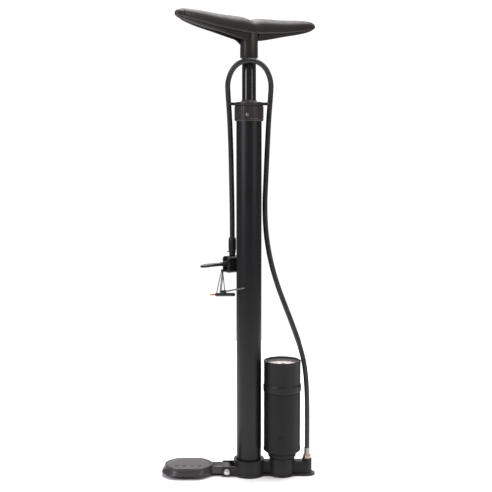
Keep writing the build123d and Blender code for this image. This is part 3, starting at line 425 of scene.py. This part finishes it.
def buildStudio():
    radius, sides = studio["floorRadius"], studio["floorSides"]
    mesh = bpy.data.meshes.new("studioFloor")
    angles = [2 * math.pi * step / sides for step in range(sides)]
    rim = [(radius * math.cos(angle), radius * math.sin(angle), 0) for angle in angles]
    mesh.from_pydata(rim, [], [tuple(range(sides))])
    floor = bpy.data.objects.new("studioFloor", mesh)
    bpy.context.scene.collection.objects.link(floor)
    material, work = newFinish("floorPaper")
    grain = work.mottle(0.004, 2.0)
    tone = studio["floorTone"]
    close(work, (tone, tone, tone, 1), grain * 0.05 + 0.8)
    mesh.materials.append(material)
    buildWorld()
    addLight("softboxLeft", (-1.2, -0.9, 1.1), (0, 0, 0.5), (0.35, 1.0), 15, (0.95, 0.92, 1.0))
    addLight("softboxRight", (1.2, -0.9, 1.0), (0, 0, 0.4), (0.25, 1.0), 6, (1.0, 0.93, 0.86))
    addLight("overhead", (0.3, 0.4, 2.2), (0, 0, 0.3), (2.4, 2.0), 88, (1.0, 0.98, 0.97))
    addLight("overheadBack", (0.0, 1.5, 1.0), (0, 0, 0.2), (2.0, 0.5), 12, (1.0, 0.97, 0.98))
    camera = bpy.data.cameras.new("studioCamera")
    camera.lens = studio["lens"]
    camera.sensor_width = 36.0
    view = bpy.data.objects.new("studioCamera", camera)
    view.location = studio["cameraPlace"]
    view.rotation_euler = (math.radians(studio["cameraTilt"]), 0, 0)
    bpy.context.scene.collection.objects.link(view)
    bpy.context.scene.camera = view
    bpy.context.scene.view_settings.view_transform = "Standard"


buildStudio()
print("studio ready")


hoseRoute = (
    (0.0825, 0.0, 0.0386), (0.0825, 0.0, 0.076), (0.0819, 0.0005, 0.120), (0.0786, 0.0015, 0.157),
    (0.0706, 0.0025, 0.188), (0.0566, 0.004, 0.226), (0.0416, 0.0055, 0.264), (0.031, 0.0068, 0.299),
    (0.024, 0.0072, 0.337), (0.0217, 0.0072, 0.378), (0.0235, 0.0056, 0.420), (0.0254, 0.0042, 0.465),
    (0.0272, 0.0016, 0.503), (0.0294, -0.002, 0.530), (0.0303, -0.0088, 0.5525), (0.0202, -0.0148, 0.5726),
    (0.0004, -0.0172, 0.58), (-0.0192, -0.0148, 0.5726), (-0.0294, -0.0088, 0.5525), (-0.0284, -0.002, 0.530),
    (-0.0265, 0.0024, 0.503), (-0.025, 0.0062, 0.462), (-0.0242, 0.0104, 0.420), (-0.0236, 0.0146, 0.384),
    (-0.0233, 0.0172, 0.358), (-0.0233, 0.0172, 0.336),
)
lanyardRoutes = {
    "lanyard_outer": ((-0.0454, 0.01618, 0.25718), (-0.03858, 0.00882, 0.2903), (-0.0364, 0.00571, 0.2903),
                      (-0.03408, 0.00486, 0.26328)),
    "lanyard_inner": ((-0.04077, 0.01155, 0.25793), (-0.03739, 0.00965, 0.2903), (-0.03521, 0.00654, 0.2903),
                      (-0.03936, 0.01014, 0.25816)),
}
cordSizes = {"hose": 3.55, "lanyard_outer": 0.6, "lanyard_inner": 0.6}


def layCord(name, node, route, smoothness):
    curve = bpy.data.curves.new(name, "CURVE")
    curve.dimensions = "3D"
    curve.bevel_depth = cordSizes[node] * mm
    curve.bevel_resolution = 5
    curve.use_fill_caps = True
    line = curve.splines.new("NURBS")
    line.points.add(len(route) - 1)
    for point, place in zip(line.points, route):
        point.co = (*place, 1.0)
    line.order_u = 3
    line.use_endpoint_u = True
    line.resolution_u = smoothness
    thing = bpy.data.objects.new(name, curve)
    bpy.context.scene.collection.objects.link(thing)
    curve.materials.append(finishes[slotOf[node]])
    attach(thing, bodyOf[node])
    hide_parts(node)
    return thing


hoseCord = layCord("airHose", "hose", hoseRoute, 10)
outerCord = layCord("lanyardOuter", "lanyard_outer", lanyardRoutes["lanyard_outer"], 12)
innerCord = layCord("lanyardInner", "lanyard_inner", lanyardRoutes["lanyard_inner"], 12)
print("hose and lanyards laid")


# distances along one grip from the rod, with its half width and the heights of its lip, top and keel
grip = {
    "turn": 42.5,
    "stations": ((0, 12.6, -0.2, 19.6, -8.4), (14, 12.8, 0.0, 22.3, -8.0), (32, 12.8, 1.4, 22.9, -5.0),
                 (60, 12.4, 3.9, 23.6, 0.3), (90, 11.2, 8.4, 25.5, 5.6), (112, 9.0, 12.6, 25.9, 10.6),
                 (122, 7.2, 14.6, 25.0, 12.9)),
    "end": 127.0,
    "roundFrom": 115.5,
    "groove": 119.0,
    "keelInset": 2.4,
    "keelDraft": 1.6,
    "keelWall": 2.2,
    "keelReach": 123.0,
    "keelTaper": 108.0,
    "gussetLength": 16.0,
    "gussetDrop": 6.0,
}
stemEnd = 613.6
stemRadius = 12.2


def gripAt(along, column):
    # the smooth value of one column at a distance along the grip
    rows = grip["stations"]
    places = [row[0] for row in rows]
    index = max(0, min(len(rows) - 2, sum(place <= along for place in places) - 1))
    span = places[index + 1] - places[index]
    part = (along - places[index]) / span

    def slope(at):
        if at == 0:
            return 0.0
        if at == len(rows) - 1:
            return (rows[at][column] - rows[at - 1][column]) / (places[at] - places[at - 1])
        return (rows[at + 1][column] - rows[at - 1][column]) / (places[at + 1] - places[at - 1])

    a, b = rows[index][column], rows[index + 1][column]
    bend = part * part * (3 - 2 * part)
    rise = part * (1 - part) ** 2 * slope(index) * span - part * part * (1 - part) * slope(index + 1) * span
    return a + (b - a) * bend + rise


def power(value, exponent):
    return math.copysign(abs(value) ** exponent, value)


def shellRing(along, side, steps=40):
    # a D-shaped section: a round crown over a flatter belly with a soft lip
    near = min(along, grip["stations"][-1][0])
    half, low, high = (gripAt(near, column) for column in (1, 2, 3))
    past = max(0.0, along - grip["roundFrom"]) / (grip["end"] - grip["roundFrom"])
    close = math.sqrt(max(0.0, 1 - past ** 2.3))
    pinch = 0.55 * math.exp(-((along - grip["groove"]) / 0.8) ** 2)
    centre = (low * 0.55 + high * 0.45)
    half = half * close - pinch
    up, down = (high - centre) * close - pinch, (centre - low) * close - pinch
    ring = []
    for step in range(steps):
        angle = 2 * math.pi * step / steps
        sine, cosine = math.sin(angle), math.cos(angle)
        shape = 2 / 2.15 if sine >= 0 else 2 / 4.2
        y = half * power(cosine, 2 / 2.15 if sine >= 0 else 2 / 3.4)
        z = centre + (up if sine >= 0 else down) * power(sine, shape)
        ring.append((side * along, y, stemEnd + z))
    return ring


def gripStations():
    # closer together at the saddle, the groove and the rounded end
    end = grip["end"]
    places = [0, 2, 4, 7, 10, 14, 18, 23, 28] + [34 + 7 * step for step in range(12)]
    places += [115, 117, 118.3, 118.8, 119.3, 119.9, 120.8, 122.0, 123.4, 124.8, 126.0, 127.0, 127.8]
    return places + [end - 0.5, end - 0.2, end - 0.05]


def buildShell():
    turn = Matrix.Rotation(math.radians(grip["turn"]), 4, "Z")
    places = gripStations()
    rings = [shellRing(place, -1) for place in reversed(places[1:])]
    rings += [shellRing(place, 1) for place in places]
    shell = piece("gripShell", asMesh("gripShell", skin(rings), place=turn), "handle_top_shell", sharp=60)
    return shell


def keelRing(along, side):
    # a channel with its open side down, whose walls lean in a little and run out at the tip
    near = min(along, grip["stations"][-1][0])
    half = gripAt(near, 1) - grip["keelInset"]
    lip, low = gripAt(near, 2) + 0.6, gripAt(near, 4)
    past = max(0.0, along - grip["keelTaper"]) / (grip["keelReach"] - grip["keelTaper"])
    low += (lip - low - 0.4) * past ** 1.6
    half -= 1.6 * past
    foot = half - grip["keelDraft"] * (1 - past)
    wall = grip["keelWall"]
    roof = max(lip - 2.0, low + 0.5)
    outline = ((-half, lip), (-foot, low), (-foot + wall, low), (-foot + wall, roof),
               (foot - wall, roof), (foot - wall, low), (foot, low), (half, lip))
    return [(side * along, y, stemEnd + z) for y, z in outline]


def gussetWeb(side):
    # the curved web that brings the back wall of one wing's keel down into the stem
    wall = grip["stations"][0][1] - grip["keelInset"] - grip["keelDraft"]
    inner = math.sqrt(stemRadius ** 2 - wall ** 2) - 0.2
    low = grip["stations"][0][4]
    curve = []
    for step in range(11):
        part = step / 10
        drop = grip["gussetDrop"] * (1 - part) ** 2.2
        along = inner + grip["gussetLength"] * part
        curve.append((along, low + 0.12 * grip["gussetLength"] * part - drop))
    outline = curve + [(inner, low + 3)]
    return skin([[(side * x, y, stemEnd + z) for x, z in outline] for y in (wall - grip["keelWall"], wall)])


def buildCore():
    turn = Matrix.Rotation(math.radians(grip["turn"]), 4, "Z")
    places = [9, 12, 16, 22, 28, 36, 46, 58, 70, 82, 94, 104, 109, 113, 117, 120, grip["keelReach"]]
    low = bottom("handle_core")
    high = stemEnd + 2.6
    stem = lathe(rounded([(9.7, low, 0.4), (stemRadius, low, 1.1), (stemRadius, high, 0), (9.7, high, 0)], 1))
    wings = [skin([keelRing(place, side) for place in places]) for side in (-1, 1)]
    webs = [gussetWeb(side) for side in (-1, 1)]
    mesh = asMesh("handleStem", stem, *wings, *webs, place=turn)
    return piece("handleStem", mesh, "handle_core", edge=0.3, sharp=50)


gripShell = buildShell()
handleStem = buildCore()
print("grips built")


cap = {
    "ribs": 32,
    "ribRadius": 1.05,
    "ribFrom": 500.6,
    "ribTo": 517.2,
    "screwAngle": -97.0,
    "screwHeight": 506.0,
}


def repeatRound(name, count, radius, start, sweep, template, size, finish, lift=0.0, closed=True):
    # Geometry Nodes: a shape repeated round an upright ring, long side outwards
    tree = bpy.data.node_groups.new(name, "GeometryNodeTree")
    kinds = {"Count": "Int", "Radius": "Float", "Start": "Float", "Step": "Float",
             "Size": "Vector", "Lift": "Float"}
    for label, kind in kinds.items():
        tree.interface.new_socket(label, in_out="INPUT", socket_type="NodeSocket" + kind)
    tree.interface.new_socket("Geometry", in_out="OUTPUT", socket_type="NodeSocketGeometry")
    work = NodeWork(tree)
    entry = tree.nodes.new("NodeGroupInput")
    given = {socket.name: Wire(work, socket) for socket in entry.outputs if socket.name}
    line = work.add("GeometryNodeMeshLine", None, {"Count": given["Count"]})
    angle = work.add("GeometryNodeInputIndex") * given["Step"] + given["Start"]
    cosine = work.add("ShaderNodeMath", {"operation": "COSINE"}, {0: angle})
    sine = work.add("ShaderNodeMath", {"operation": "SINE"}, {0: angle})
    place = work.add("ShaderNodeCombineXYZ", None,
                     {"X": cosine * given["Radius"], "Y": sine * given["Radius"], "Z": given["Lift"]})
    points = work.add("GeometryNodeSetPosition", None, {"Geometry": line, "Position": place})
    shapes = {
        "rod": ("GeometryNodeMeshCylinder", {"Vertices": 12, "Radius": 0.5, "Depth": 1.0}),
        "bar": ("GeometryNodeMeshCube", {"Size": (1.0, 1.0, 1.0)}),
        "bead": ("GeometryNodeMeshUVSphere", {"Segments": 16, "Rings": 8, "Radius": 0.5}),
    }
    kind, sizes = shapes[template]
    shape = work.add(kind, None, sizes)
    facing = work.add("ShaderNodeCombineXYZ", None, {"Z": angle})
    spread = work.add("GeometryNodeInstanceOnPoints", None,
                      {"Points": points, "Instance": shape, "Rotation": facing, "Scale": given["Size"]})
    real = work.add("GeometryNodeRealizeInstances", None, {"Geometry": spread})
    dressed = work.add("GeometryNodeSetMaterial", None, {"Geometry": real, "Material": finish})
    leave = tree.nodes.new("NodeGroupOutput")
    tree.links.new(dressed.socket, leave.inputs[0])
    thing = bpy.data.objects.new(name, bpy.data.meshes.new(name))
    bpy.context.scene.collection.objects.link(thing)
    nodes = thing.modifiers.new("repeat", "NODES")
    nodes.node_group = tree
    step = math.radians(sweep) / (count if closed else count - 1)
    values = {"Count": count, "Radius": radius * mm, "Start": math.radians(start), "Step": step,
              "Size": tuple(s * mm for s in size), "Lift": lift * mm}
    for item in tree.interface.items_tree:
        if item.in_out == "INPUT":
            nodes[item.identifier] = values[item.name]
    applyModifiers(thing)
    mesh = thing.data
    bpy.data.objects.remove(thing)
    return mesh


def shiftMesh(mesh, x=0.0, y=0.0, z=0.0):
    mesh.transform(Matrix.Translation((x * mm, y * mm, z * mm)))
    return mesh


def trim(name, mesh, node, finish=None, sharp=40):
    # an extra piece that goes with a CAD node's body but doesn't stand for it
    return piece(name, mesh, node, finish, sharp=sharp, replace=False)


def buildRod():
    low, high = bottom("piston_rod"), top("piston_rod")
    outline = [(7.5, low, 0), (9.6, low, 0.3), (9.6, high, 0.3), (7.5, high, 0)]
    return piece("pumpRod", asMesh("pumpRod", lathe(rounded(outline, 0.3))), "piston_rod", sharp=50)


def buildCap():
    low, high = bottom("barrel_cap"), top("barrel_cap")
    roof = high - 2.0
    half = across("barrel_cap")
    body = half - 0.55
    outline = [(17.55, low, 0.2), (half - 1.6, low, 0.5), (half, low + 1.6, 0.6), (half, low + 3.2, 0.4),
               (body, low + 3.8, 0.3), (body, roof - 0.8, 0.8), (half - 1.4, roof, 0.4),
               (15.0, roof, 0.2), (15.0, high, 0.3),
               (12.05, high, 0.1), (12.05, roof - 7.0, 0), (17.55, roof - 7.0, 0)]
    mesh = asMesh("barrelCap", lathe(rounded(outline, 0.4), steps=128))
    whole = piece("barrelCap", mesh, "barrel_cap", sharp=45)
    ribs = repeatRound("capRibs", cap["ribs"], body - 0.2, 360 / cap["ribs"] / 2, 360, "rod",
                       (1.5, cap["ribRadius"] * 2, cap["ribTo"] - cap["ribFrom"] - 0.6),
                       finishes["cap_plastic"], (cap["ribFrom"] + cap["ribTo"]) / 2)
    keep = bmesh.new()
    keep.from_mesh(ribs)
    towards = Vector((math.cos(math.radians(cap["screwAngle"])), math.sin(math.radians(cap["screwAngle"]))))
    near = [v for v in keep.verts if (v.co.xy - towards * half * mm).length < 3.4 * mm]
    bmesh.ops.delete(keep, geom=near, context="VERTS")
    keep.to_mesh(ribs)
    keep.free()
    trim("capRibs", ribs, "barrel_cap", sharp=50)
    return whole


def shrunkCut(cut):
    # a dark sliver flush with the head stands for the cut's shaded floor
    points, faces = cut
    return [(x, y, min(z, 19.78)) for x, y, z in points], faces


def buildCapScrew():
    # a pan head with a cross cut, in a round seat on the cap's side
    aim = Matrix.Rotation(math.radians(cap["screwAngle"]), 4, "Z")
    aim = Matrix.Translation((0, 0, cap["screwHeight"])) @ aim @ Matrix.Rotation(math.radians(90), 4, "Y")
    rim = [(2.7, 18.6, 0), (3.5, 18.6, 0), (3.5, 19.9, 0.3), (2.9, 19.9, 0.25), (2.7, 19.4, 0)]
    seat = lathe(rounded(rim, 0.2), steps=48)
    trim("screwSeat", asMesh("screwSeat", seat, place=aim), "barrel_cap")
    head = []
    for ring in range(1, 9):
        spread = 2.5 * ring / 8
        head.append((spread, 19.0 + 0.75 * math.cos(math.pi / 2 * (ring / 8) ** 1.4)))
    head += [(2.5, 18.5), (0.02, 18.5), (0.02, 19.75)]
    blade = []
    for turn in (0, 90):
        spin = Matrix.Rotation(math.radians(turn + 20), 4, "Z")
        corners = [(-1.5, -0.28), (1.5, -0.28), (1.5, 0.28), (-1.5, 0.28)]
        blade.append(skin([[tuple(spin @ Vector((x, y, z))) for x, y in corners] for z in (19.2, 20.4)]))
    mesh = asMesh("capScrew", lathe(head, steps=40), place=aim)
    screw = piece("capScrew", mesh, "cap_screw", sharp=35)
    # painted shade: the dark slivers in the cross cut stand for its shadowed recess
    for index, cut in enumerate(blade):
        trim(f"capScrewCut{index + 1}", asMesh("cut", shrunkCut(cut), place=aim), "cap_screw", inkAndPaintedShade, 30)
    return screw


def buildBracket():
    return piece("hoseBracket", cleanCopy("hose_bracket"), "hose_bracket", edge=0.55, sharp=35)


def buildBarrel():
    low, high = bottom("barrel_tube"), top("barrel_tube")
    half = across("barrel_tube")
    outline = [(half - 1.4, low, 0), (half, low, 0.2), (half, high, 0.2), (half - 1.4, high, 0)]
    mesh = asMesh("barrelTube", lathe(rounded(outline, 0.3), steps=128))
    return piece("barrelTube", mesh, "barrel_tube", sharp=50)


buildRod()
buildCap()
buildCapScrew()
buildBracket()
buildBarrel()
print("rod, cap and barrel built")


pedal = {
    "end": -119.0,
    "inner": -52.0,
    "half": 25.5,
    "corner": 15.0,
    "cornerRound": 17.0,
    "flare": 4.2,
    "top": 15.5,
    "bottom": 4.8,
    "wall": 2.2,
    "studs": 4,
    "studPitch": 11.0,
}


def pedalRing(grow, height):
    # the step's rounded eight-sided outline, that much larger all round
    a, b = pedal["end"] - grow, pedal["inner"] + min(grow, 1.0)
    w, c = pedal["half"] + grow, pedal["corner"] + grow * 0.4
    outline = ((a, -w + c), (a + c, -w), (b - c, -w), (b, -w + c),
               (b, w - c), (b - c, w), (a + c, w), (a, w - c))
    return [(x, y, height) for x, y in rounded(outline, pedal["cornerRound"], 6)]


def buildPedal():
    # the skirt, the rolled rim, the tray and the hollow under it, as one shell
    high, low, flare = pedal["top"], pedal["bottom"], pedal["flare"]
    rings = [pedalRing(flare - 0.7, low), pedalRing(flare, low + 0.5), pedalRing(flare - 0.1, low + 1.5)]
    for step in range(1, 7):
        part = step / 6
        rings.append(pedalRing(flare * (1 - part) ** 1.8 + 0.2, low + 1.5 + (high - low - 3.4) * part))
    rings += [pedalRing(0.15, high - 1.3), pedalRing(-0.25, high - 0.5), pedalRing(-0.8, high - 0.1),
              pedalRing(-1.4, high), pedalRing(-2.0, high - 0.1), pedalRing(-2.6, high - 0.5),
              pedalRing(-3.0, high - 1.0), pedalRing(-3.8, high - 1.25)]
    tray = high - 1.3
    for inset in (6, 9):
        rings.append(pedalRing(-inset, tray))
    body = skin(rings)
    points, faces = body
    faces = [face for face in faces if len(face) == 4]
    count = len(rings[0])
    last = (len(rings) - 1) * count
    faces.append(tuple(range(last, last + count)))
    roof = tray - pedal["wall"]
    inside = [pedalRing(-(pedal["wall"] + 6), roof), pedalRing(-(pedal["wall"] + 1), roof),
              pedalRing(-pedal["wall"] + 0.6, roof - 2), pedalRing(flare - pedal["wall"], low)]
    start = len(points)
    for ring in inside:
        points += ring
    faces.append(tuple(range(start, start + count)))
    for row in range(len(inside) - 1):
        for index in range(count):
            after = (index + 1) % count
            a, b = start + row * count, start + (row + 1) * count
            faces.append((a + index, a + after, b + after, b + index))
    rim = start + (len(inside) - 1) * count
    for index in range(count):
        after = (index + 1) % count
        faces.append((rim + index, rim + after, after, index))
    step = piece("footPedal", asMesh("footPedal", (points, faces)), "foot_pedal", sharp=50)
    for index in range(pedal["studs"]):
        x = (pedal["end"] + pedal["inner"]) / 2 + (index - (pedal["studs"] - 1) / 2) * pedal["studPitch"]
        stud = [(0.02, 0.9), (0.9, 0.86), (1.6, 0.62), (2.1, 0.2), (2.3, 0.0), (2.3, -0.3), (0.02, -0.3)]
        lump = lathe([(r * 1.05, tray + h) for r, h in stud], (x, -8.0), 32)
        # the studs take the darker base paint: painted shade standing for the dark dimples on the tray
        trim(f"pedalStud{index + 1}", asMesh("stud", lump), "foot_pedal", finishes["base_paint"], sharp=70)
    neck = cleanCopy("foot_pedal")
    cut = bmesh.new()
    cut.from_mesh(neck)
    where = Vector(((pedal["inner"] - 0.6) * mm, 0, 0))
    parts = cut.verts[:] + cut.edges[:] + cut.faces[:]
    made = bmesh.ops.bisect_plane(cut, geom=parts, plane_co=where, plane_no=(1, 0, 0), clear_inner=True)
    edges = [part for part in made["geom_cut"] if isinstance(part, bmesh.types.BMEdge)]
    bmesh.ops.edgenet_fill(cut, edges=edges)
    cut.to_mesh(neck)
    cut.free()
    trim("pedalNeck", neck, "foot_pedal", sharp=30)
    return step


def buildPin():
    # a domed rivet, with its head's edge a little proud of the ear
    half = across("pedal_pin")
    centre = middle("pedal_pin")
    aim = Matrix.Translation((centre.x, 0, centre.z)) @ Matrix.Rotation(math.radians(90), 4, "X")
    dome = []
    for step in range(9):
        angle = math.pi / 2 * step / 8
        dome.append((4.5 * math.sin(angle) + 0.02, half - 2.3 * (1 - math.cos(angle)) ** 1.1))
    outline = dome + [(4.5, half - 2.45), (2.5, half - 2.45)]
    outline += [(r, -h) for r, h in reversed(outline)]
    return piece("pedalPin", asMesh("pedalPin", lathe(outline, steps=48), place=aim), "pedal_pin", sharp=50)


piece("pumpBase", cleanCopy("base_casting"), "base_casting", edge=0.6, sharp=35)
buildPedal()
buildPin()
print("base and pedal built")


gauge = {
    "x": 46.8,
    "marks": 33,
    "longEvery": 4,
    "zero": 225.0,
    "sweep": 270.0,
    "step": 20,
    "numberReach": 14.6,
    "dimpleLeft": 2.8,
    "dimpleHeight": 62.0,
    "dimpleDepth": 1.7,
    "dimpleReach": 2.4,
}


def buildTank():
    low, high, foot = bottom("tank_body"), top("tank_body"), across("tank_body") - 0.3
    wall = foot - 0.5
    shoulder = high - 9.0
    outline = [(12.1, low, 0), (14.5, low, 0.3), (14.5, 24.5, 0), (17.3, 24.5, 0.3),
               (19.8, 27.7, 0.9), (19.8, 30.8, 1.0), (foot, 36.2, 1.2), (foot, 38.6, 1.0),
               (wall, 44.5, 6.0), (wall, shoulder, 0.4), (wall - 2, shoulder, 0), (wall - 2, high, 0.2),
               (wall - 4.4, high, 0), (wall - 4.4, 41.0, 0), (12.1, 29.0, 0)]
    tall = []
    shape = rounded(outline, 0.5)
    for here, after in zip(shape, shape[1:] + shape[:1]):
        parts = 40 if abs(here[1] - after[1]) > 40 and here[0] > wall - 1 else 1
        for step in range(parts):
            part = step / parts
            tall.append((here[0] + (after[0] - here[0]) * part, here[1] + (after[1] - here[1]) * part))
    points, faces = lathe(tall, (gauge["x"], 0), 180)
    dented = []
    for x, y, z in points:
        away = math.hypot(x - gauge["x"] + gauge["dimpleLeft"], z - gauge["dimpleHeight"])
        dent = gauge["dimpleDepth"] * math.exp(-(away / gauge["dimpleReach"]) ** 2)
        depth = dent if y < -20 else 0.0
        dented.append((x, y + depth, z))
    return piece("airTank", asMesh("airTank", (dented, faces)), "tank_body", sharp=45)


def buildHousing():
    low, high = bottom("gauge_housing"), top("gauge_housing")
    tall = high - 35.0
    wall = across("tank_body") - 0.75
    collar = across("gauge_housing")
    bore = across("lens_ring") + 0.05
    bezel = wall + 0.25
    outline = [(wall - 1.8, low, 0), (collar - 0.5, low, 0.4), (collar, low + 1, 0.4), (collar, tall, 0.5),
               (wall, tall + 1.8, 0.6), (wall, high - 3.2, 0.6), (bezel, high - 2.2, 0.5),
               (bezel, high - 0.9, 0.5), (wall - 0.4, high, 0.5), (bore + 0.4, high, 0.5),
               (bore, high - 0.9, 0.3),
               (bore, tall + 5.0, 0), (4.55, tall + 5.0, 0),
               (4.55, tall + 1.5, 0), (wall - 1.8, tall + 1.5, 0)]
    mesh = asMesh("gaugeHousing", lathe(rounded(outline, 0.4), (gauge["x"], 0), 128))
    housing = piece("gaugeHousing", mesh, "gauge_housing", sharp=45)
    for side in (-1, 1):
        x0 = gauge["x"] + side * (collar - 0.36)
        lug = [(x0 - 0.35, -3.2), (x0 + 0.35, -3.2), (x0 + 0.35, 3.2), (x0 - 0.35, 3.2)]
        block = skin([[(x, y, z) for x, y in rounded(lug, 0.3, 3)] for z in (tall - 3.6, tall - 0.4)])
        trim(f"collarLug{'L' if side < 0 else 'R'}", asMesh("lug", block), "gauge_housing", sharp=50)
    return housing


def buildDial():
    # a printed face with ticks and plain numbers, a flat pointer and the clear cover over it
    height, rim = top("gauge_dial"), across("gauge_dial") - 0.02
    outline = [(1.6, height - 0.6, 0), (rim, height - 0.6, 0), (rim, height, 0.1), (1.6, height, 0)]
    piece("dialFace", asMesh("dialFace", lathe(rounded(outline, 0.1), (gauge["x"], 0), 96)), "gauge_dial")
    start, sweep = gauge["zero"] - gauge["sweep"], gauge["sweep"]
    fine = repeatRound("dialTicks", gauge["marks"], 19.8, start, sweep, "bar",
                       (1.8, 0.22, 0.05), inkAndPaintedShade, height + 0.03, closed=False)
    trim("dialTicks", shiftMesh(fine, gauge["x"]), "gauge_dial", inkAndPaintedShade)
    longs = (gauge["marks"] - 1) // gauge["longEvery"] + 1
    bold = repeatRound("dialLongTicks", longs, 19.1, start, sweep, "bar",
                       (3.4, 0.42, 0.06), inkAndPaintedShade, height + 0.035, closed=False)
    trim("dialLongTicks", shiftMesh(bold, gauge["x"]), "gauge_dial", inkAndPaintedShade)
    for index in range(longs):
        angle = math.radians(gauge["zero"] - gauge["sweep"] * index / (longs - 1))
        words = bpy.data.curves.new("number", "FONT")
        words.body = str(index * gauge["step"])
        words.size = 3.0 * mm
        words.extrude = 0.02 * mm
        words.align_x = "CENTER"
        words.align_y = "CENTER"
        carrier = bpy.data.objects.new("number", words)
        bpy.context.scene.collection.objects.link(carrier)
        bpy.context.view_layer.update()
        mesh = bpy.data.meshes.new_from_object(carrier.evaluated_get(bpy.context.evaluated_depsgraph_get()))
        bpy.data.objects.remove(carrier)
        reach = gauge["numberReach"]
        shiftMesh(mesh, gauge["x"] + reach * math.cos(angle), reach * math.sin(angle), height + 0.04)
        trim(f"dialNumber{index * gauge['step']}", mesh, "gauge_dial", inkAndPaintedShade)
    piece("gaugeNeedle", cleanCopy("gauge_pointer"), "gauge_pointer", edge=0.12)
    low, high = bottom("gauge_lens"), top("gauge_lens")
    edge = across("gauge_lens")
    glass = [(0.02, low), (edge, low), (edge, high),
             (16.0, high + 0.05), (8.0, high + 0.1), (0.02, high + 0.12)]
    piece("gaugeLens", asMesh("gaugeLens", lathe(glass, (gauge["x"], 0), 96)), "gauge_lens", sharp=30)
    ringLow, ringHigh = bottom("lens_ring"), top("lens_ring")
    outer = across("lens_ring")
    ring = rounded([(outer - 1.5, ringLow, 0.1), (outer, ringLow, 0.1),
                    (outer, ringHigh, 0.2), (outer - 1.2, ringHigh, 0.3)], 0.2)
    piece("lensRing", asMesh("lensRing", lathe(ring, (gauge["x"], 0), 96)), "lens_ring")


def buildUnion():
    # a ridged ferrule on a hexagonal brass union
    centre = middle("hose_ferrule")
    low, high = bottom("hose_ferrule"), top("hose_ferrule")
    outline = [(2.22, low, 0), (4.2, low, 0.4)]
    for ridge in range(3):
        z = low + (high - low) * (ridge + 1) / 4
        outline += [(4.2, z - 0.9, 0.25), (3.75, z - 0.45, 0.2), (3.75, z + 0.45, 0.2), (4.2, z + 0.9, 0.25)]
    outline += [(4.2, high, 0.5), (2.22, high, 0)]
    mesh = asMesh("hoseFerrule", lathe(rounded(outline, 0.3), (centre.x, 0), 64))
    piece("hoseFerrule", mesh, "hose_ferrule", sharp=50)
    piece("hoseUnion", cleanCopy("hose_fitting"), "hose_fitting", edge=0.25)


buildTank()
buildHousing()
buildDial()
buildUnion()
print("tank and gauge built")


chuck = {"x": -23.3, "y": 17.2}
# each piece's name, node, softened edge in millimetres, sharp angle, and finish where it isn't the node's own
chuckCopies = (
    ("sleeveClip", "sleeve_clip", 0.2, 40, "chuck_plastic"),
    ("chuckBody", "chuck_body", 0.6, 35, None),
    ("chuckMouth", "chuck_mouth_nut", 0.4, 40, None),
    ("chuckGland", "chuck_gland", 0.0, 40, None),
    ("chuckPlunger", "chuck_plunger", 0.0, 40, None),
    ("chuckLeverPin", "chuck_lever_pin", 0.2, 40, None),
    ("chuckLever", "chuck_lever", 0.7, 50, None),
    ("adapterHolder", "adapter_holder", 0.2, 40, None),
    ("ballNeedle", "ball_needle", 0.12, 40, "needle_steel"),
    ("prestaTip", "presta_adapter", 0.15, 40, None),
)


def buildChuck():
    low, high = bottom("chuck_sleeve"), top("chuck_sleeve")
    outline = [(1.6, low, 0), (4.9, low, 0.6), (5.4, low + 1.4, 0.8), (5.4, high - 3.6, 0.6),
               (5.1, high - 3.0, 0.3), (5.1, high - 1.2, 0.9), (4.2, high, 0.6), (1.6, high, 0)]
    mesh = asMesh("chuckSleeve", lathe(rounded(outline, 0.5), (chuck["x"], chuck["y"]), 64))
    made = [piece("chuckSleeve", mesh, "chuck_sleeve", sharp=50)]
    for name, node, edge, sharp, slot in chuckCopies:
        finish = finishes[slot] if slot else None
        made.append(piece(name, cleanCopy(node), node, finish, edge=edge, sharp=sharp))
    return made


chuckPieces = buildChuck()
print("chuck and adapters built")

print("whole pump ready")
